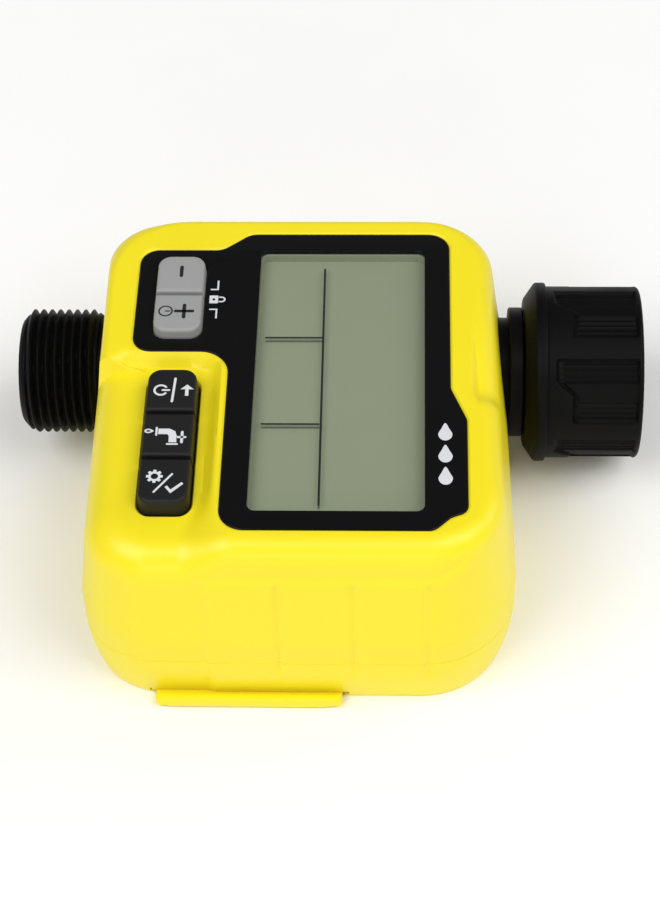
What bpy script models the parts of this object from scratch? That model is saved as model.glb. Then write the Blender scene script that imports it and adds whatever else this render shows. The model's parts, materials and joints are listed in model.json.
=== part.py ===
"""Drip irrigation timer: a battery-driven ball valve between a swivel nut and a male thread,
in a two-part housing with a display and five keys.

The timer lies on its back: +Z is the way the display faces, +X points to the inlet nut,
and -Y is the side where the battery cover slides out. Lengths are in metres.
"""

import math

import bmesh
import bpy
from mathutils import Matrix, Vector

MM = 0.001

# Clearances
GAP = 0.3 * MM
KEY_SPLIT = 0.4 * MM
CUT = 8 * MM

# Housing
BODY_X = 87.3 * MM
BODY_Y = 95.8 * MM
BODY_Z = 43 * MM
WALL = 2.2 * MM
CORNERS = (15.5 * MM, 19 * MM, 15 * MM, 13 * MM)
TAPER = 2.0 * MM
DRAFT = 2.4 * MM
DRAFT_START = 20 * MM
EDGE = 6.0 * MM
FOOT = 1.9 * MM
PARTING = 14 * MM
PLATEAU = 3 * MM
PLATEAU_EDGE = 1.5 * MM
PLATEAU_CORNER = 14 * MM

# Water way
PIPE_TO_FAR_WALL = 24.4 * MM
PIPE_HEIGHT = 21 * MM
THREAD_CREST = 13.22 * MM
THREAD_ROOT = 12.06 * MM
THREAD_PITCH = 1.814 * MM
THREAD_OUT = 17.2 * MM
THREAD_NECK = 1.1 * MM
NECK = 11.6 * MM
OUTLET_NECK = 11.4 * MM
FLANGE = 13.2 * MM
FLANGE_LENGTH = 2.1 * MM
SEAL_WIDTH = 1.6 * MM
SEAL_RADIUS = 13.4 * MM
COLLAR = 13.8 * MM
COLLAR_LENGTH = 2.9 * MM
BORE = 6.0 * MM
MOUTH = 8.3 * MM
OUTLET_TUBE = 10.5 * MM
OUTLET_PLUG = 9.0 * MM
PLUG_LENGTH = 8.0 * MM
RING_THICK = 1.5 * MM

# Swivel nut
NUT_LENGTH = 24.4 * MM
NUT_BACK = 15.9 * MM
NUT_RIM = 19.1 * MM
NUT_GRIP = 18.3 * MM
NUT_CHAMFER = 2.2 * MM
NUT_RIM_LENGTH = 2.3 * MM
NUT_BACK_WALL = 2.2 * MM
NUT_ROUND = 1.0 * MM
CLIP_ROOM = 3.7 * MM
CLIP_WIDTH = 1.2 * MM
CLIP_GROOVE = 0.9 * MM
WASHER_THICK = 3.0 * MM
WASHER_OUTER = 11.5 * MM
WASHER_INNER = 8.0 * MM
FILTER_DEPTH = 12 * MM
FILTER_WALL = 0.6 * MM

# Ball valve
BALL = 8.6 * MM
BALL_BORE = 4.5 * MM
BALL_TO_CENTRE = 16.75 * MM
SEAT_INNER = 5.0 * MM
SEAT_THICK = 2.8 * MM
SEAT_CLEARANCE = 0.2 * MM
CHAMBER_CLEARANCE = 2.2 * MM
VALVE_WALL = 1.4 * MM
SLEEVE_WALL = 2.1 * MM
STEM = 2.4 * MM
SLOT_WIDTH = 2.2 * MM
SLOT_DEPTH = 1.8 * MM
TONGUE = 6.0 * MM
BOSS = 5.2 * MM
BOSS_REACH = 16.0 * MM
STEM_SEAL = 4.0 * MM
STEM_SEAL_THICK = 1.5 * MM

# Gear train
MODULE = 0.5 * MM
BACKLASH = 0.15 * MM
PINION_TEETH = 10
WHEEL_TEETH = 30
OUTPUT_TEETH = 36
TOOTH_TOP = 0.4 * MM
TOOTH_DEPTH = 0.95 * MM
LAYER = 3.6 * MM
PIN = 1.0 * MM
CASE_WALL = 1.2 * MM
CASE_FRONT = 1.8 * MM
CASE_COVER = 1.8 * MM
PIN_HOLD = 1.2 * MM
MOTOR_RADIUS = 10.05 * MM
MOTOR_HALF_FLAT = 7.55 * MM
MOTOR_LENGTH = 25 * MM
TRAIN_ANGLES = (-48, 62, 180)

# Battery bay
CELL_RADIUS = 7.25 * MM
CELL_LENGTH = 50.5 * MM
CELL_NUB = 1.0 * MM
CELL_TO_CENTRE = 12.75 * MM
BAY_WALL = 1.2 * MM
CONTACT = 0.4 * MM
TAG_HALF = 3 * MM
TAG_RISE = 2 * MM
SPRING_LENGTH = 2.4 * MM
SPRING_WIRE = 0.3 * MM
SPRING_TURNS = 1.5
COVER_PLATE = 1.6 * MM
COVER_TONGUE = 0.8 * MM
COVER_RAIL = 1.0 * MM
COVER_WIDTH = 37.9 * MM
COVER_TO_CENTRE = 10.4 * MM
COVER_END = 1.6 * MM
RAIL_PAD = 1.2 * MM
LIP_OUT = 1.5 * MM
LIP_THICK = 1.2 * MM
LIP_HEIGHT = 3.4 * MM
LIP_CORNER = 3.0 * MM

# Display
PANEL_THICK = 1.0 * MM
PANEL_SINK = 0.2 * MM
WINDOW_X = 34.25 * MM
WINDOW_Y = 69.75 * MM
WINDOW_TO_CENTRE = 7.7 * MM
WINDOW_TO_NEAR = 48.2 * MM
WINDOW_CORNER = 1.6 * MM
LENS_FLANGE = 1.2 * MM
LENS_FLANGE_THICK = 1.1 * MM
LENS_SINK = 0.3 * MM
LCD_MARGIN = 2.4 * MM
LCD_THICK = 1.7 * MM
LCD_FRAME_WALL = 2.2 * MM
BOARD_THICK = 1.6 * MM

# Keys
KEY_X = 10.3 * MM
KEY_TO_LEFT = 17.9 * MM
GREY_LENGTH = 21.8 * MM
GREY_RISE = 2.0 * MM
GREY_TO_WINDOW = 20.9 * MM
BLACK_TO_GREY = 8.95 * MM
BLACK_LENGTH = 35.0 * MM
BLACK_RISE = 3.7 * MM
KEY_CORNER = 2.4 * MM
KEY_TRAVEL = 0.9 * MM
KEY_FLANGE = 0.8 * MM
KEY_FLANGE_THICK = 1.3 * MM
KEY_FOOT = 1.0 * MM
KEY_FOOT_RADIUS = 1.5 * MM
MAT_THICK = 0.6 * MM
MAT_CLEARANCE = 0.2 * MM

# Fixings
SCREW = 1.45 * MM
SCREW_HEAD = 2.9 * MM
SCREW_HEAD_THICK = 2.2 * MM
SCREW_SINK = 1.0 * MM
SCREW_LENGTH = 22 * MM
SCREW_TO_LEFT = 8.8 * MM
SCREW_TO_RIGHT = 11.05 * MM
FAR_SCREW_TO_RIGHT = 13.4 * MM
SCREW_TO_NEAR = 9.75 * MM
SCREW_TO_FAR = 7.45 * MM
REAR_BOSS = 4.2 * MM
FRONT_BOSS = 3.4 * MM
BOARD_SCREW = 1.0 * MM
BOARD_SCREW_HEAD = 1.8 * MM
BOARD_POST = 2.0 * MM
WIRE = 0.6 * MM

# Places worked out from the sizes above
NECK_TAPER = TAPER * (BODY_Y - PIPE_TO_FAR_WALL) / BODY_Y
COLLAR_GAP = GAP + TAPER * COLLAR / BODY_Y
LENGTH = THREAD_OUT + BODY_X - NECK_TAPER + COLLAR_GAP + COLLAR_LENGTH + GAP + NUT_LENGTH
LEFT = THREAD_OUT - LENGTH / 2
RIGHT = LEFT + BODY_X
INLET_WALL = RIGHT - NECK_TAPER
CENTRE_X = (LEFT + RIGHT) / 2
NEAR = LIP_OUT / 2 - BODY_Y / 2
FAR = LIP_OUT / 2 + BODY_Y / 2
TOP = BODY_Z + PLATEAU
CEILING = BODY_Z - WALL
AXIS_Y = FAR - PIPE_TO_FAR_WALL
PIPE = Vector((0, AXIS_Y, PIPE_HEIGHT))
BALL_X = CENTRE_X + BALL_TO_CENTRE
SEAT_STANDOFF = math.sqrt(BALL ** 2 - SEAT_INNER ** 2) + SEAT_CLEARANCE
SEAT_END = SEAT_STANDOFF + SEAT_THICK
CHAMBER = BALL + CHAMBER_CLEARANCE
PLUG = CHAMBER - GAP
VALVE_OUTER = CHAMBER + VALVE_WALL
SLEEVE = OUTLET_PLUG + GAP + SLEEVE_WALL
WALL_LEAN = DRAFT * (PIPE_HEIGHT + SEAL_RADIUS - DRAFT_START) / DRAFT_START
SEAL_REACH = WALL + WALL_LEAN + GAP
INLET_FLANGE = INLET_WALL - SEAL_REACH - SEAL_WIDTH - GAP
OUTLET_FLANGE = LEFT + SEAL_REACH + SEAL_WIDTH + GAP
VALVE_RIGHT = INLET_FLANGE - FLANGE_LENGTH - GAP
VALVE_LEFT = BALL_X - SEAT_END - 28 * MM
CLIP_SEAT = NECK - CLIP_GROOVE
COLLAR_START = INLET_WALL + COLLAR_GAP
NUT_START = COLLAR_START + COLLAR_LENGTH + GAP
NUT_END = NUT_START + NUT_LENGTH
SPIGOT_END = NUT_START + NUT_BACK_WALL + CLIP_ROOM - 1.1 * MM
THREAD_END = LEFT - THREAD_OUT
BOSS_END = AXIS_Y - BOSS_REACH
CASE_START = BOSS_END - GAP
CASE_INNER = CASE_START - CASE_FRONT
LAYER_A = CASE_INNER - 0.5 * MM
LAYER_B = LAYER_A - LAYER - 0.8 * MM
LAYER_C = LAYER_B - LAYER
CASE_END = LAYER_C - LAYER - 1.2 * MM
COVER_START = CASE_END - GAP
MOTOR_START = COVER_START - CASE_COVER - GAP
MAT_TOP = CEILING - GAP - KEY_FLANGE_THICK - KEY_FOOT - KEY_TRAVEL - MAT_CLEARANCE
BOARD_TOP = MAT_TOP - MAT_THICK - GAP
BOARD_HEIGHT = BOARD_TOP - BOARD_THICK
PANEL_TOP = TOP - PANEL_SINK
POCKET_FLOOR = PANEL_TOP - PANEL_THICK - GAP
LCD_TOP = BODY_Z - GAP
KEY_LEFT = LEFT + KEY_TO_LEFT - KEY_X / 2
KEY_RIGHT = KEY_LEFT + KEY_X
WINDOW_MID_X = CENTRE_X + WINDOW_TO_CENTRE
WINDOW_MID_Y = NEAR + WINDOW_TO_NEAR
CELL_HEIGHT = WALL + GAP + CELL_RADIUS
BAY_MID = CENTRE_X - CELL_TO_CENTRE
COVER_MID = CENTRE_X - COVER_TO_CENTRE
BAY_HALF = CELL_RADIUS * 2 + 0.5 * MM
BAY_NEAR = NEAR + WALL + BAY_WALL + GAP
BAY_FAR = BAY_NEAR + CELL_LENGTH + SPRING_LENGTH + CONTACT * 2 + GAP * 3
BAY_TOP = CELL_HEIGHT + CELL_RADIUS + 0.4 * MM


# --- building helpers -------------------------------------------------------------------

def clear_scene():
    for thing in list(bpy.data.objects):
        bpy.data.objects.remove(thing, do_unlink=True)


def make_collection(name):
    group = bpy.data.collections.new(name)
    bpy.context.scene.collection.children.link(group)
    return group


def add_object(name, mesh, place=(0, 0, 0)):
    """Link a mesh whose points are in the world frame, with its origin moved to place."""
    mesh.transform(Matrix.Translation(-Vector(place)))
    thing = bpy.data.objects.new(name, mesh)
    thing.location = place
    PARTS.objects.link(thing)
    return thing


def box(name, x, y, z):
    """A block between the pairs of limits x, y and z."""
    shape = bmesh.new()
    bmesh.ops.create_cube(shape, size=1)
    size = Vector((x[1] - x[0], y[1] - y[0], z[1] - z[0]))
    middle = Vector((sum(x), sum(y), sum(z))) / 2
    for point in shape.verts:
        point.co = middle + Vector(a * b for a, b in zip(point.co, size))
    mesh = bpy.data.meshes.new(name)
    shape.to_mesh(mesh)
    shape.free()
    return add_object(name, mesh)


def cylinder(name, axis, centre, radius, start, end, sides=32):
    """A round bar along a world axis, from start to end on that axis."""
    shape = bmesh.new()
    bmesh.ops.create_cone(shape, cap_ends=True, segments=sides, radius1=radius,
                          radius2=radius, depth=end - start)
    mesh = bpy.data.meshes.new(name)
    shape.to_mesh(mesh)
    shape.free()
    index = "XYZ".index(axis)
    turn = {"X": Matrix.Rotation(math.pi / 2, 4, "Y"), "Y": Matrix.Rotation(math.pi / 2, 4, "X")}
    place = Vector(centre)
    place[index] = (start + end) / 2
    mesh.transform(Matrix.Translation(place) @ turn.get(axis, Matrix()))
    mesh.polygons.foreach_set("use_smooth", [True] * len(mesh.polygons))
    mesh.set_sharp_from_angle(angle=math.radians(40))
    return add_object(name, mesh)


def signed_area(points):
    pairs = zip(points, points[1:] + points[:1])
    return sum(a[0] * b[1] - b[0] * a[1] for a, b in pairs) / 2


def turned(name, axis, centre, profile, steps=32):
    """A turned shape: profile is (place along the axis, radius), closed unless it meets the axis."""
    closed = min(radius for _, radius in profile) > 0
    line = list(profile)
    if signed_area([(radius, along) for along, radius in line]) > 0:
        line.reverse()
    if not closed:
        while line[0][1] > 0 or line[-1][1] > 0:
            line.append(line.pop(0))
    along_axis = {"X": lambda a, r: (a, r, 0), "Y": lambda a, r: (r, a, 0),
                  "Z": lambda a, r: (r, 0, a)}[axis]
    count = len(line)
    edges = [(i, (i + 1) % count) for i in range(count if closed else count - 1)]
    mesh = bpy.data.meshes.new(name)
    mesh.from_pydata([along_axis(a, r) for a, r in line], edges, [])
    thing = bpy.data.objects.new(name, mesh)
    place = Vector(centre)
    place["XYZ".index(axis)] = 0
    thing.location = place
    PARTS.objects.link(thing)
    screw = thing.modifiers.new("turn", "SCREW")
    screw.axis = axis
    screw.steps = steps
    screw.render_steps = steps
    screw.use_merge_vertices = True
    screw.merge_threshold = 0.00001
    screw.use_smooth_shade = True
    return thing


def to_mesh_object(thing):
    """Turn a curve object into a mesh object with welded caps, in the same place."""
    bpy.context.view_layer.update()
    evaluated = thing.evaluated_get(bpy.context.evaluated_depsgraph_get())
    mesh = bpy.data.meshes.new_from_object(evaluated)
    shape = bmesh.new()
    shape.from_mesh(mesh)
    bmesh.ops.remove_doubles(shape, verts=shape.verts, dist=0.000002)
    bmesh.ops.recalc_face_normals(shape, faces=shape.faces)
    shape.to_mesh(mesh)
    shape.free()
    solid = bpy.data.objects.new(thing.name, mesh)
    solid.matrix_world = thing.matrix_world
    PARTS.objects.link(solid)
    name = thing.name
    bpy.data.objects.remove(thing, do_unlink=True)
    solid.name = name
    return solid


def flat(name, outlines, low, high, place=(0, 0), axis="Z"):
    """Outlines (the first solid, the rest holes) given thickness from low to high on an axis."""
    curve = bpy.data.curves.new(name, "CURVE")
    curve.dimensions = "2D"
    curve.fill_mode = "BOTH"
    curve.extrude = (high - low) / 2
    for outline in outlines:
        spline = curve.splines.new("POLY")
        spline.points.add(len(outline) - 1)
        for point, (a, b) in zip(spline.points, outline):
            point.co = (a, b, 0, 1)
        spline.use_cyclic_u = True
    thing = bpy.data.objects.new(name, curve)
    PARTS.objects.link(thing)
    middle = (low + high) / 2
    if axis == "Z":
        thing.location = (place[0], place[1], middle)
    else:
        thing.location = (place[0], middle, place[1])
        thing.rotation_euler = (math.pi / 2, 0, 0)
    return to_mesh_object(thing)


def rounded(corners, radius, steps=4):
    """A closed outline with arcs at its corners; radius is one value or one for each corner.

    An arc takes at most 0.45 of the shorter side beside it.
    """
    radii = radius if isinstance(radius, (list, tuple)) else [radius] * len(corners)
    outline = []
    for i, corner in enumerate(corners):
        here = Vector(corner)
        back = (Vector(corners[i - 1]) - here).normalized()
        ahead = (Vector(corners[(i + 1) % len(corners)]) - here).normalized()
        if radii[i] == 0:
            outline.append(tuple(here))
            continue
        half = back.angle(ahead) / 2
        shortest = min((Vector(corners[i - 1]) - here).length,
                       (Vector(corners[(i + 1) % len(corners)]) - here).length)
        reach = min(radii[i] / math.tan(half), shortest * 0.45)
        middle = here + (back + ahead).normalized() * (reach / math.cos(half))
        first = here + back * reach - middle
        last = here + ahead * reach - middle
        sweep = first.angle_signed(last)
        for step in range(steps + 1):
            turn = Matrix.Rotation(-sweep * step / steps, 2)
            outline.append(tuple(middle + turn @ first))
    return outline


def rectangle(x, y, radius=0.0, steps=4):
    corners = [(x[0], y[0]), (x[1], y[0]), (x[1], y[1]), (x[0], y[1])]
    return rounded(corners, radius, steps)


def loft(name, sections):
    """A closed solid through loops of equal length, from the lowest to the highest."""
    shape = bmesh.new()
    rings = [[shape.verts.new(point) for point in section] for section in sections]
    for low, high in zip(rings, rings[1:]):
        for i in range(len(low)):
            shape.faces.new((low[i - 1], low[i], high[i], high[i - 1]))
    shape.faces.new(reversed(rings[0]))
    shape.faces.new(rings[-1])
    bmesh.ops.recalc_face_normals(shape, faces=shape.faces)
    mesh = bpy.data.meshes.new(name)
    shape.to_mesh(mesh)
    shape.free()
    return add_object(name, mesh)


def combine(target, operation, *tools):
    """Apply Boolean modifiers to target with tools, which become hidden cutters."""
    for tool in tools:
        PARTS.objects.unlink(tool)
        CUTTERS.objects.link(tool)
        tool.hide_render = True
        tool.display_type = "WIRE"
        step = target.modifiers.new(tool.name, "BOOLEAN")
        step.operation = operation
        step.solver = "EXACT"
        step.object = tool
    return target


def tube(name, points, radius=WIRE):
    """A round wire through points, with closed ends."""
    curve = bpy.data.curves.new(name, "CURVE")
    curve.dimensions = "3D"
    curve.bevel_depth = radius
    curve.bevel_resolution = 2
    curve.use_fill_caps = True
    spline = curve.splines.new("POLY")
    spline.points.add(len(points) - 1)
    for point, place in zip(spline.points, points):
        point.co = (*place, 1)
    thing = bpy.data.objects.new(name, curve)
    PARTS.objects.link(thing)
    return thing


def paint(thing, material):
    thing.data.materials.clear()
    thing.data.materials.append(material)
    return thing


def move_origin(thing, place):
    """Put a mesh object's origin at place and leave its shape where it is."""
    shift = thing.matrix_world.inverted() @ Vector(place)
    thing.data.transform(Matrix.Translation(-shift))
    thing.location = place
    return thing


def make_material(name, colour, roughness, metallic=0.0):
    material = bpy.data.materials.new(name)
    material.use_nodes = True
    shader = material.node_tree.nodes["Principled BSDF"]
    shader.inputs["Base Color"].default_value = (*colour, 1)
    shader.inputs["Roughness"].default_value = roughness
    shader.inputs["Metallic"].default_value = metallic
    return material


# --- housing ----------------------------------------------------------------------------

def body_inset(height):
    """How far the outer wall stands in from the widest section at a height."""
    if height < PARTING:
        return FOOT * (1 - height / PARTING) ** 2
    if height <= DRAFT_START:
        return 0.0
    lean = DRAFT * (height - DRAFT_START) / DRAFT_START
    below_top = max(0.0, height - (BODY_Z - EDGE))
    return lean + EDGE - math.sqrt(max(0.0, EDGE ** 2 - below_top ** 2))


def body_section(height, thickness=0.0):
    inset = body_inset(height) + thickness
    left, right = LEFT + inset, RIGHT - inset
    near, far = NEAR + inset, FAR - inset
    corners = [(left, near), (right, near), (right - TAPER, far), (left, far)]
    radii = [corner - inset for corner in CORNERS]
    return [(a, b, height) for a, b in rounded(corners, radii, 6)]


def plateau_outline(side, bevel):
    """The raised field round the display and the upper keys.

    side is its distance to the walls, bevel how far its other edges have drawn in.
    """
    left, right = LEFT + side, RIGHT - side
    far, near = FAR - side, NEAR + side
    step = KEY_RIGHT + 2.2 * MM + bevel
    shoulder = RIGHT - 8.4 * MM - bevel
    black_top = WINDOW_MID_Y + 4.3 * MM + bevel
    corners = [(left, far), (right - TAPER, far), (shoulder, black_top - 10 * MM),
               (right, black_top - 18 * MM), (right, near + 12 * MM), (right - 6 * MM, near),
               (step, near), (step, black_top), (left + 5 * MM, black_top),
               (left, black_top - 16 * MM)]
    radii = [PLATEAU_CORNER, PLATEAU_CORNER, 5 * MM, 5 * MM, 6 * MM, 4 * MM, 4 * MM,
             3 * MM, 4 * MM, 6 * MM]
    return rounded(corners, radii)


def plateau():
    """The raised field, whose far and end sides carry on the lean of the walls."""
    low = BODY_Z - EDGE
    side = body_inset(low) + GAP
    levels = [(low, side, 0), (BODY_Z, side + GAP * 2, 0), (TOP - PLATEAU_EDGE, side + GAP * 3, 0)]
    for turn in (30, 60, 90):
        bevel = PLATEAU_EDGE * (1 - math.cos(math.radians(turn)))
        height = TOP - PLATEAU_EDGE * (1 - math.sin(math.radians(turn)))
        levels.append((height, side + GAP * 3 + bevel, bevel))
    return loft("plateau", [[(a, b, height) for a, b in plateau_outline(side, bevel)]
                            for height, side, bevel in levels])


def panel_outline(offset=0.0):
    """The display surround, with its lobe round the upper keys; offset grows it."""
    grey_near, grey_far = grey_limits()
    (window_left, window_right), (window_near, window_far) = window_limits()
    left = KEY_LEFT - 3.75 * MM - offset
    right = window_right + 8.3 * MM + offset
    upper_right = right - 3.2 * MM
    near = window_near - 4.7 * MM - offset
    far = window_far + 4.95 * MM + offset
    lobe_near = grey_near - 3.6 * MM - offset
    lobe_far = grey_far + 3.35 * MM + offset
    step = KEY_RIGHT + 5.85 * MM - offset
    jog = WINDOW_MID_Y - 3.5 * MM
    corners = [(left, lobe_near), (step, lobe_near), (step, near), (right - 6 * MM, near),
               (right - 2.6 * MM, near + 3 * MM), (right, near + 5 * MM), (right, jog - 8 * MM),
               (upper_right, jog), (upper_right, far), (window_left - 3.3 * MM, far),
               (window_left - 8 * MM, lobe_far), (left, lobe_far)]
    radii = [3.6 * MM, 6 * MM, 5 * MM, 2.4 * MM, 3 * MM, 2 * MM, 3 * MM, 3 * MM, 4.5 * MM,
             3 * MM, 3 * MM, 3.6 * MM]
    return rounded(corners, radii)


def grey_limits():
    """Near and far limits of the two upper keys, beside the window's far half."""
    middle = WINDOW_MID_Y + GREY_TO_WINDOW
    return middle - GREY_LENGTH / 2, middle + GREY_LENGTH / 2


def black_limits():
    far = grey_limits()[0] - BLACK_TO_GREY
    return far - BLACK_LENGTH, far


def window_limits(grow=0.0):
    x = (WINDOW_MID_X - WINDOW_X / 2 - grow, WINDOW_MID_X + WINDOW_X / 2 + grow)
    y = (WINDOW_MID_Y - WINDOW_Y / 2 - grow, WINDOW_MID_Y + WINDOW_Y / 2 + grow)
    return x, y


def screw_places():
    near, far = NEAR + SCREW_TO_NEAR, FAR - SCREW_TO_FAR
    return [(LEFT + SCREW_TO_LEFT, near), (LEFT + SCREW_TO_LEFT, far),
            (RIGHT - SCREW_TO_RIGHT, near), (RIGHT - FAR_SCREW_TO_RIGHT, far)]


def board_screw_places():
    """Two fixings between the keys and the display carrier."""
    x = KEY_RIGHT + 3.9 * MM
    return [(x, WINDOW_MID_Y + y * MM) for y in (-32, 32)]


def key_opening(limits, grow):
    x = (KEY_LEFT - grow, KEY_RIGHT + grow)
    y = (limits[0] - grow, limits[1] + grow)
    return rectangle(x, y, KEY_CORNER + grow)


def neck_cutters(name):
    """Round passages for the two necks through the end walls."""
    reach = SEAL_REACH + GAP
    return [cylinder(name + "_outlet", "X", PIPE, OUTLET_NECK + GAP, LEFT - CUT, LEFT + reach),
            cylinder(name + "_inlet", "X", PIPE, NECK + GAP, INLET_WALL - reach, RIGHT + CUT)]


def neck_slots():
    """The passages' straight sides, down to the parting plane."""
    reach = SEAL_REACH + GAP
    z = (PARTING - CUT, PIPE_HEIGHT)
    outlet, inlet = OUTLET_NECK + GAP, NECK + GAP
    return [box("slot_outlet", (LEFT - CUT, LEFT + reach), (AXIS_Y - outlet, AXIS_Y + outlet), z),
            box("slot_inlet", (INLET_WALL - reach, RIGHT + CUT), (AXIS_Y - inlet, AXIS_Y + inlet), z)]


def front_shell():
    low = PARTING + GAP
    heights = [low, DRAFT_START, BODY_Z - EDGE]
    heights += [BODY_Z - EDGE * (1 - math.sin(math.radians(a))) for a in (20, 40, 60, 80)]
    shell = loft("front_shell", [body_section(z) for z in heights])
    combine(shell, "UNION", plateau())
    skirt = [(a, b, low - CUT) for a, b, _ in body_section(PARTING, WALL)]
    hollow = loft("front_hollow", [skirt, body_section(DRAFT_START, WALL),
                                   body_section(BODY_Z - EDGE, WALL), body_section(CEILING, WALL)])
    combine(shell, "DIFFERENCE", hollow)
    for index, (x, y) in enumerate(screw_places()):
        post = cylinder(f"front_boss_{index}", "Z", (x, y, 0), FRONT_BOSS, low, BODY_Z - EDGE, 24)
        combine(shell, "UNION", post)
        hole = cylinder(f"front_pilot_{index}", "Z", (x, y, 0), SCREW + GAP, low - CUT,
                        SCREW_SINK + SCREW_HEAD_THICK + SCREW_LENGTH + GAP, 16)
        combine(shell, "DIFFERENCE", hole)
    for index, (x, y) in enumerate(board_screw_places()):
        post = cylinder(f"board_post_{index}", "Z", (x, y, 0), BOARD_POST, BOARD_TOP + GAP,
                        CEILING + WALL / 4, 16)
        combine(shell, "UNION", post)
        hole = cylinder(f"board_pilot_{index}", "Z", (x, y, 0), BOARD_SCREW + GAP,
                        BOARD_TOP - CUT, CEILING, 12)
        combine(shell, "DIFFERENCE", hole)
    lens_x, lens_y = window_limits(LENS_FLANGE + GAP)
    frame_x, frame_y = window_limits(LCD_MARGIN + 3 * GAP)
    combine(shell, "DIFFERENCE",
            flat("panel_pocket", [panel_outline(GAP)], POCKET_FLOOR, TOP + CUT),
            flat("lens_opening", [rectangle(lens_x, lens_y, WINDOW_CORNER)], CEILING - CUT, TOP + CUT),
            box("display_room", frame_x, frame_y, (CEILING - CUT, BODY_Z)),
            flat("grey_opening", [key_opening(grey_limits(), GAP)], CEILING - CUT, TOP + CUT),
            flat("black_opening", [key_opening(black_limits(), GAP)], CEILING - CUT, TOP + CUT))
    combine(shell, "DIFFERENCE", *neck_cutters("front_neck"), *neck_slots())
    return shell


def cover_limits(grow=0.0):
    half = COVER_WIDTH / 2 + grow
    return (COVER_MID - half, COVER_MID + half), (NEAR, BAY_FAR + COVER_END + grow)


def rear_shell():
    heights = [0.0, PARTING * 0.3, PARTING * 0.65, PARTING]
    shell = loft("rear_shell", [body_section(z) for z in heights])
    hollow = loft("rear_hollow", [body_section(WALL, WALL),
                                  body_section(PARTING * 0.65, WALL),
                                  [(a, b, PARTING + CUT) for a, b, _ in body_section(PARTING, WALL)]])
    combine(shell, "DIFFERENCE", hollow)
    bay_x = (BAY_MID - BAY_HALF, BAY_MID + BAY_HALF)
    cover_x, cover_y = cover_limits(GAP)
    rail_x = (cover_x[0] - COVER_RAIL, cover_x[1] + COVER_RAIL)
    inside = NEAR + WALL / 2
    pad_z = (WALL / 2, WALL + RAIL_PAD)
    combine(shell, "UNION",
            box("rail_pad", (rail_x[0] - BAY_WALL, rail_x[1] + BAY_WALL),
                (inside, cover_y[1] + BAY_WALL), pad_z),
            box("bay_outer", (bay_x[0] - BAY_WALL, bay_x[1] + BAY_WALL),
                (BAY_NEAR - BAY_WALL, BAY_FAR + BAY_WALL), (WALL, BAY_TOP + BAY_WALL)))
    for index, (x, y) in enumerate(screw_places()):
        combine(shell, "UNION", cylinder(f"rear_boss_{index}", "Z", (x, y, 0), REAR_BOSS,
                                         WALL / 2, PARTING, 24))
    for index, (x, y) in enumerate(screw_places()):
        combine(shell, "DIFFERENCE",
                cylinder(f"rear_hole_{index}", "Z", (x, y, 0), SCREW + GAP, -CUT, PARTING + CUT, 16),
                cylinder(f"rear_sink_{index}", "Z", (x, y, 0), SCREW_HEAD + GAP, -CUT,
                         SCREW_SINK + SCREW_HEAD_THICK + GAP, 24))
    open_y = (NEAR - CUT, cover_y[1])
    tongue_low = GAP + COVER_PLATE - COVER_TONGUE
    combine(shell, "DIFFERENCE",
            box("bay_inner", bay_x, (BAY_NEAR, BAY_FAR), (-CUT, BAY_TOP)),
            box("cover_channel", cover_x, open_y, (-CUT, WALL)),
            box("cover_groove", rail_x, open_y, (tongue_low - GAP, WALL)),
            *neck_cutters("rear_neck"))
    combine(shell, "DIFFERENCE", cylinder("valve_relief", "X", PIPE, SLEEVE + GAP, VALVE_LEFT,
                                          BAY_MID + BAY_HALF + BAY_WALL + GAP))
    tag = TAG_HALF + GAP
    for index, x in enumerate(cell_places()):
        combine(shell, "DIFFERENCE",
                box(f"tag_slot_{index}", (x - tag, x + tag),
                    (BAY_FAR - CONTACT - GAP * 2, BAY_FAR), (BAY_TOP - GAP, BAY_TOP + CUT)))
    return shell


def shell_screws():
    low = SCREW_SINK
    neck = low + SCREW_HEAD_THICK
    tip = neck + SCREW_LENGTH
    profile = [(low, 0), (low, SCREW_HEAD), (neck - SCREW, SCREW_HEAD), (neck, SCREW),
               (tip - SCREW, SCREW), (tip, 0)]
    return [turned(f"shell_screw_{i + 1}", "Z", (x, y, 0), profile, 20)
            for i, (x, y) in enumerate(screw_places())]


def neck_seals():
    inlet = INLET_WALL - SEAL_REACH
    outlet = LEFT + SEAL_REACH
    return [ring("inlet_neck_seal", inlet - SEAL_WIDTH, inlet, NECK + GAP, SEAL_RADIUS),
            ring("outlet_neck_seal", outlet, outlet + SEAL_WIDTH, OUTLET_NECK + GAP, SEAL_RADIUS)]


# --- display and keys -------------------------------------------------------------------

def display_panel():
    window_x, window_y = window_limits()
    holes = [rectangle(window_x, window_y, WINDOW_CORNER), key_opening(grey_limits(), GAP)]
    return flat("display_panel", [panel_outline()] + holes, PANEL_TOP - PANEL_THICK, PANEL_TOP)


def display_lens():
    base_x, base_y = window_limits(LENS_FLANGE)
    face_x, face_y = window_limits(-GAP)
    under = PANEL_TOP - PANEL_THICK - GAP
    lens = flat("display_lens", [rectangle(base_x, base_y, WINDOW_CORNER - GAP)],
                under - LENS_FLANGE_THICK, under)
    return combine(lens, "UNION", flat("lens_face", [rectangle(face_x, face_y, WINDOW_CORNER - GAP)],
                                       under - LENS_FLANGE_THICK / 2, PANEL_TOP - LENS_SINK))


def lcd_glass():
    x, y = window_limits(LCD_MARGIN - GAP)
    return box("lcd_glass", x, y, (LCD_TOP - LCD_THICK, LCD_TOP))


def lcd_frame():
    outer_x, outer_y = window_limits(LCD_MARGIN + GAP)
    inner_x, inner_y = window_limits(LCD_MARGIN + GAP - LCD_FRAME_WALL)
    return flat("lcd_frame", [rectangle(outer_x, outer_y), rectangle(inner_x, inner_y)],
                BOARD_TOP + GAP, LCD_TOP - LCD_THICK - GAP)


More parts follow.
